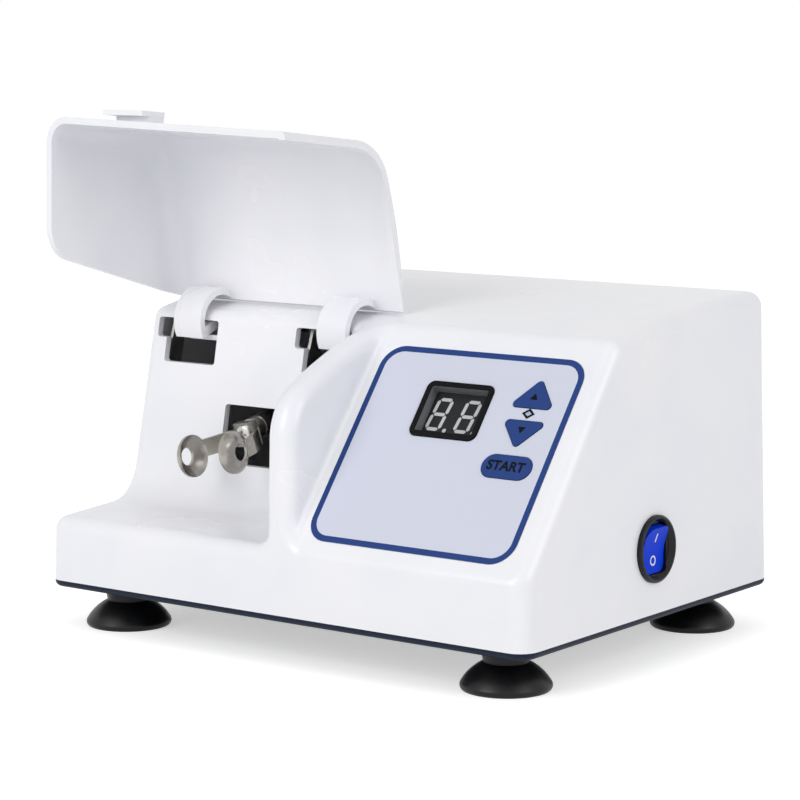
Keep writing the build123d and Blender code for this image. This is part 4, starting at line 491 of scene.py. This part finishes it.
# %% Blue border
film_low, film_high = (3.2, 5.5), (85.7, 82.5)
film_top = 0.1
film_round = 8.5
border_width = 2.2
ink_half = 0.015
outer = rounded_loop(film_low, film_high, film_round)
inner = rounded_loop(
    (film_low[0] + border_width, film_low[1] + border_width),
    (film_high[0] - border_width, film_high[1] - border_width),
    film_round - border_width,
)
border_place = panel_matrix @ Matrix.Translation((0, 0, film_top))
border = finish_object(
    "border_print",
    evaluated_mesh(flat_outline([outer, inner], ink_half), border_place),
    ink_blue,
    "housing",
)
print("border print has", len(border.data.polygons), "faces")

# %% [markdown]
# ## Marks on the keys
# A small black triangle is printed on each arrow key and START on the long key. Each mark
# rides on its own key, so that it sinks with it when the key is pressed.

# %% Triangles and START
key_middle = 70.1
key_top = 0.5
mark_half = 1.5
word_middle = (69.95, 40.55)


def triangle(base, tip, half_width):
    """Corners of a small triangle with its base and tip at the given heights."""
    return [(key_middle - half_width, base), (key_middle + half_width, base), (key_middle, tip)]


for key, base, tip in (("up_key", 66.1, 68.6), ("down_key", 55.6, 53.1)):
    finish_object(
        f"{key}_mark",
        evaluated_mesh(
            flat_outline([triangle(base, tip, mark_half)], ink_half),
            panel_matrix @ Matrix.Translation((0, 0, key_top)),
        ),
        ink_black,
        key,
    )
text_data = bpy.data.curves.new("start_word", "FONT")
text_data.body = "START"
text_data.size = 4.9
text_data.align_x = "CENTER"
text_data.align_y = "CENTER"
text_data.offset = 0.16
text_data.extrude = ink_half
text_data.space_character = 1.02
start_word = bpy.data.objects.new("start_word", text_data)
bpy.context.collection.objects.link(start_word)
start_mark = finish_object(
    "start_key_mark",
    evaluated_mesh(start_word, panel_matrix @ Matrix.Translation((*word_middle, key_top))),
    ink_black,
    "start_key",
)
print("START is", len(start_mark.data.vertices), "points")

# %% [markdown]
# ## The window and what lies behind it
# The window is a black frame pressed into the panel, and the display module sits four
# millimetres behind its face. That depth is what the eye notices: the inner walls show at one
# side and the digits shift against the frame. So the frame is a real ring, with a grey shroud
# inside it and the dark face of the module as its floor.

# %% Window frame, shroud and floor
window_low, window_high = (26.7, 48.5), (53.7, 69.8)
window_round, smallest_round = 2.8, 0.5
frame_width = 1.9
frame_face, frame_back = 0.6, -3.5
shroud_wall, shroud_step, shroud_gap = 0.12, 0.35, 0.05
floor_thickness = 0.1


def inset_loop(inset):
    """The window's outline, moved inwards by so many millimetres."""
    return rounded_loop(
        (window_low[0] + inset, window_low[1] + inset),
        (window_high[0] - inset, window_high[1] - inset),
        max(window_round - inset, smallest_round),
    )


def panel_ring(name, loops, top, bottom, material):
    """A filled outline on the panel between two heights."""
    outline = flat_outline(loops, (top - bottom) / 2)
    mesh = evaluated_mesh(outline, panel_matrix @ Matrix.Translation((0, 0, (top + bottom) / 2)))
    return finish_object(name, mesh, material, "housing")


window_frame = panel_ring(
    "window_frame",
    [inset_loop(0), inset_loop(frame_width)],
    frame_face,
    frame_back,
    black_acrylic,
)
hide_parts("display_window")
panel_ring(
    "window_shroud",
    [inset_loop(frame_width), inset_loop(frame_width + shroud_wall)],
    frame_face - shroud_step,
    frame_back + shroud_gap,
    shroud_grey,
)
panel_ring(
    "module_face",
    [inset_loop(frame_width)],
    frame_back + floor_thickness,
    frame_back,
    module_grey,
)
print("window frame has", len(window_frame.data.polygons), "faces")

# %% [markdown]
# ## Unlit digits
# Each digit is seven bars of milky epoxy let into the module's dark face, with a decimal point.
# Unlit they read as pale grey. One digit is drawn from its bars, and a tree sets copies of it
# side by side at the module's pitch.

# %% One digit from its bars
digit_foot = Vector((29.95, 53.45))
digit_width, digit_height = 5.2, 11.5
bar_half, bar_gap, digit_slant = 0.64, 0.24, 0.097
point_x, point_y, point_radius = digit_width + 2.45, -0.2, 0.75
digit_half, digit_lift = 0.02, 0.14
digit_count, digit_pitch = 2, 11.5
corners = {
    "low_left": (0, 0),
    "low_right": (1, 0),
    "middle_left": (0, 0.5),
    "middle_right": (1, 0.5),
    "high_left": (0, 1),
    "high_right": (1, 1),
}
bars = [
    ("low_left", "low_right"),
    ("middle_left", "middle_right"),
    ("high_left", "high_right"),
    ("low_left", "middle_left"),
    ("middle_left", "high_left"),
    ("low_right", "middle_right"),
    ("middle_right", "high_right"),
]


def bar_loop(start, end):
    """A bar with pointed ends between two corners of the digit, leaning with it."""
    first, last = (
        Vector((corners[name][0] * digit_width, corners[name][1] * digit_height))
        for name in (start, end)
    )
    along = (last - first).normalized()
    across = Vector((-along.y, along.x)) * bar_half
    first, last = first + along * bar_gap, last - along * bar_gap
    outline = [
        first,
        first + along * bar_half - across,
        last - along * bar_half - across,
        last,
        last - along * bar_half + across,
        first + along * bar_half + across,
    ]
    return [(x + y * digit_slant, y) for x, y in outline]


point_loop = [
    (
        point_x + point_radius * math.cos(math.radians(angle)),
        point_y + point_radius * math.sin(math.radians(angle)),
    )
    for angle in range(0, 360, 20)
]
digit_mesh = evaluated_mesh(
    flat_outline([bar_loop(start, end) for start, end in bars] + [point_loop], digit_half),
    Matrix.Translation((digit_foot.x, digit_foot.y, frame_back + digit_lift)),
)
print("one digit has", len(digit_mesh.polygons), "faces")

# %% Two digits from one
digits_tree, entry, result = start_tree(
    "digits_in_a_row", {"Digits": "NodeSocketInt", "Pitch": "NodeSocketFloat"}
)
step = add_node(digits_tree, "ShaderNodeCombineXYZ", {"X": entry.outputs["Pitch"]})
row = add_node(
    digits_tree,
    "GeometryNodeMeshLine",
    {"Count": entry.outputs["Digits"], "Offset": step.outputs["Vector"]},
    mode="OFFSET",
)
copies = add_node(
    digits_tree,
    "GeometryNodeInstanceOnPoints",
    {"Points": row.outputs["Mesh"], "Instance": entry.outputs["Geometry"]},
)
solid = add_node(
    digits_tree, "GeometryNodeRealizeInstances", {"Geometry": copies.outputs["Instances"]}
)
dressed = add_node(
    digits_tree,
    "GeometryNodeSetMaterial",
    {"Geometry": solid.outputs["Geometry"], "Material": segment_grey},
)
digits_tree.links.new(dressed.outputs["Geometry"], result.inputs["Geometry"])
digits = bake_tree(digits_tree, digit_mesh, {"Digits": digit_count, "Pitch": digit_pitch})
digits.transform(panel_matrix)
finish_object("display_digits", digits, segment_grey, "housing")
print("two digits have", len(digits.polygons), "faces")

# %% [markdown]
# ## Lamp outline
# The small lamp between the arrows shines through a diamond in the film, and a dark line is
# printed round it.

# %% Dark diamond round the lamp
lamp_middle = (key_middle, 60.87)
line_top, line_bottom = 0.24, 0.16


def diamond(half_width, half_height):
    """Corners of a diamond round the lamp."""
    x, y = lamp_middle
    return [(x - half_width, y), (x, y - half_height), (x + half_width, y), (x, y + half_height)]


panel_ring(
    "lamp_outline",
    [diamond(2.5, 1.95), diamond(1.35, 1.0)],
    line_top,
    line_bottom,
    ink_black,
)
print("lamp outline at", lamp_middle)

# %% [markdown]
# ## Marks on the rocker
# An I and an O are hot stamped in white on the two halves of the rocker. The paddle is hollow
# in the middle and leans, so each mark is drawn flat beside it and every point of it is then
# dropped onto the paddle's skin.

# %% I and O
rocker_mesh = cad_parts["rocker"].data
rocker_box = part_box("rocker")
rocker_y = (rocker_box[0][1] + rocker_box[1][1]) / 2
rocker_z = (rocker_box[0][2] + rocker_box[1][2]) / 2
ray_start = 0.2
mark_lift = 0.00006
skin = BVHTree.FromPolygons(
    [vertex.co[:] for vertex in rocker_mesh.vertices],
    [polygon.vertices[:] for polygon in rocker_mesh.polygons],
)


def stamp(name, loops):
    """A white mark, given in millimetres from the paddle's middle, laid on its skin."""
    mesh = evaluated_mesh(flat_outline(loops, 0.0), Matrix.Identity(4))
    form = bmesh.new()
    form.from_mesh(mesh)
    bmesh.ops.subdivide_edges(form, edges=form.edges[:], cuts=3, use_grid_fill=True)
    for vertex in form.verts:
        y = rocker_y + vertex.co.x / 1000
        z = rocker_z + vertex.co.y / 1000
        hit, _, _, _ = skin.ray_cast(Vector((ray_start, y, z)), Vector((-1, 0, 0)))
        vertex.co = (hit.x + mark_lift, y, z)
    bmesh.ops.recalc_face_normals(form, faces=form.faces)
    form.to_mesh(mesh)
    form.free()
    return finish_object(name, mesh, ink_white, "rocker")


def ring_loop(middle, half_width, half_height):
    """An oval of points."""
    return [
        (
            half_width * math.cos(math.radians(angle)),
            middle + half_height * math.sin(math.radians(angle)),
        )
        for angle in range(0, 360, 15)
    ]


stamp("rocker_mark_on", [[(-0.35, 2.4), (0.35, 2.4), (0.35, 5.4), (-0.35, 5.4)]])
stamp("rocker_mark_off", [ring_loop(-4.0, 1.75, 1.75), ring_loop(-4.0, 1.2, 1.2)])
print("marks lie on the rocker")

# %% [markdown]
# ## The coil spring
# A drawn wire coil under the bearing keeps the arm from turning with the shaft. A coil is a
# circle swept along a spiral, so two numbers for the spiral and one for the wire make it all.

# %% Wind the spring
spring_low, spring_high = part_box("restraint_spring")
coil_tree, entry, result = start_tree(
    "wound_coil",
    {
        "Turns": "NodeSocketFloat",
        "Coil Radius": "NodeSocketFloat",
        "Wire Radius": "NodeSocketFloat",
        "Height": "NodeSocketFloat",
    },
)
path = add_node(
    coil_tree,
    "GeometryNodeCurveSpiral",
    {
        "Resolution": 24,
        "Rotations": entry.outputs["Turns"],
        "Start Radius": entry.outputs["Coil Radius"],
        "End Radius": entry.outputs["Coil Radius"],
        "Height": entry.outputs["Height"],
    },
)
wire = add_node(
    coil_tree,
    "GeometryNodeCurvePrimitiveCircle",
    {"Resolution": 10, "Radius": entry.outputs["Wire Radius"]},
)
sweep = add_node(
    coil_tree,
    "GeometryNodeCurveToMesh",
    {"Curve": path.outputs["Curve"], "Profile Curve": wire.outputs["Curve"], "Fill Caps": True},
)
smooth = add_node(coil_tree, "GeometryNodeSetShadeSmooth", {"Geometry": sweep.outputs["Mesh"]})
dressed = add_node(
    coil_tree,
    "GeometryNodeSetMaterial",
    {"Geometry": smooth.outputs["Geometry"], "Material": coil_steel},
)
coil_tree.links.new(dressed.outputs["Geometry"], result.inputs["Geometry"])
wire_radius = 0.0009
spring_turns = 14.0
coil_radius = (spring_high[0] - spring_low[0]) / 2 - wire_radius
coil = bake_tree(
    coil_tree,
    bpy.data.meshes.new("coil_seed"),
    {
        "Turns": spring_turns,
        "Coil Radius": coil_radius,
        "Wire Radius": wire_radius,
        "Height": spring_high[2] - spring_low[2] - 2 * wire_radius,
    },
)
coil.transform(
    Matrix.Translation(
        (
            (spring_low[0] + spring_high[0]) / 2,
            (spring_low[1] + spring_high[1]) / 2,
            spring_low[2] + wire_radius,
        )
    )
)
spring = finish_object("wound_spring", coil, coil_steel, "housing")
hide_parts("restraint_spring")
print("the spring has", len(coil.polygons), "faces")

# %% [markdown]
# ## A studio to stand in
# The floor is a plain pale sheet. It and the world behind it read as white to the camera and
# in reflections, while the light that falls on the machine stays at a plain level.


# %% Floor and world
def level_by_ray(tree, unseen, seen):
    """One level for light on the machine and another for what eyes and mirrors see."""
    ray = add_node(tree, "ShaderNodeLightPath")
    direct = {0: ray.outputs["Is Camera Ray"], 1: ray.outputs["Is Transmission Ray"]}
    either = add_node(tree, "ShaderNodeMath", direct, operation="MAXIMUM").outputs["Value"]
    mirrored = {0: either, 1: ray.outputs["Is Glossy Ray"]}
    looked_at = add_node(tree, "ShaderNodeMath", mirrored, operation="MAXIMUM").outputs["Value"]
    levels = {"Value": looked_at, "To Min": unseen, "To Max": seen}
    return add_node(tree, "ShaderNodeMapRange", levels).outputs["Result"]


white = (1.0, 1.0, 1.0, 1.0)
floor_half = 6
floor_glow = 0.5
world_light, world_seen = 0.5, 1.0
corner_signs = ((-1, -1), (1, -1), (1, 1), (-1, 1))
floor_mesh = bpy.data.meshes.new("studio_floor")
floor_mesh.from_pydata(
    [(x * floor_half, y * floor_half, 0) for x, y in corner_signs], [], [(0, 1, 2, 3)]
)
floor = bpy.data.objects.new("studio_floor", floor_mesh)
bpy.context.collection.objects.link(floor)
floor_paper, tree, shader, _ = start_surface("studio_paper", "F4F4F5", 0.8)
shader.inputs["Emission Color"].default_value = white
tree.links.new(level_by_ray(tree, 0.0, floor_glow), shader.inputs["Emission Strength"])
floor_mesh.materials.append(floor_paper)

world = bpy.data.worlds.new("studio_world")
bpy.context.scene.world = world
world.use_nodes = True
backdrop = world.node_tree.nodes["Background"]
backdrop.inputs["Color"].default_value = white
world_level = level_by_ray(world.node_tree, world_light, world_seen)
world.node_tree.links.new(world_level, backdrop.inputs["Strength"])
print("world level", world_light)


# %% Soft boxes
def soft_box(name, place, target, size, watts):
    """A rectangular studio lamp that looks at its target."""
    lamp_data = bpy.data.lights.new(name, "AREA")
    lamp_data.shape = "RECTANGLE"
    lamp_data.size, lamp_data.size_y = size
    lamp_data.energy = watts
    lamp = bpy.data.objects.new(name, lamp_data)
    lamp.location = place
    sight = Vector(target) - Vector(place)
    lamp.rotation_euler = sight.to_track_quat("-Z", "Y").to_euler()
    bpy.context.collection.objects.link(lamp)


middle = (0.0, 0.0, 0.08)
soft_box("key_light", (-0.35, -1.35, 0.8), middle, (0.9, 0.9), 9.2)
soft_box("side_light", (1.4, -0.2, 0.8), middle, (0.8, 1.0), 6.5)
soft_box("top_light", (0.0, 0.3, 1.5), middle, (1.2, 1.0), 0.5)
print("three soft boxes")
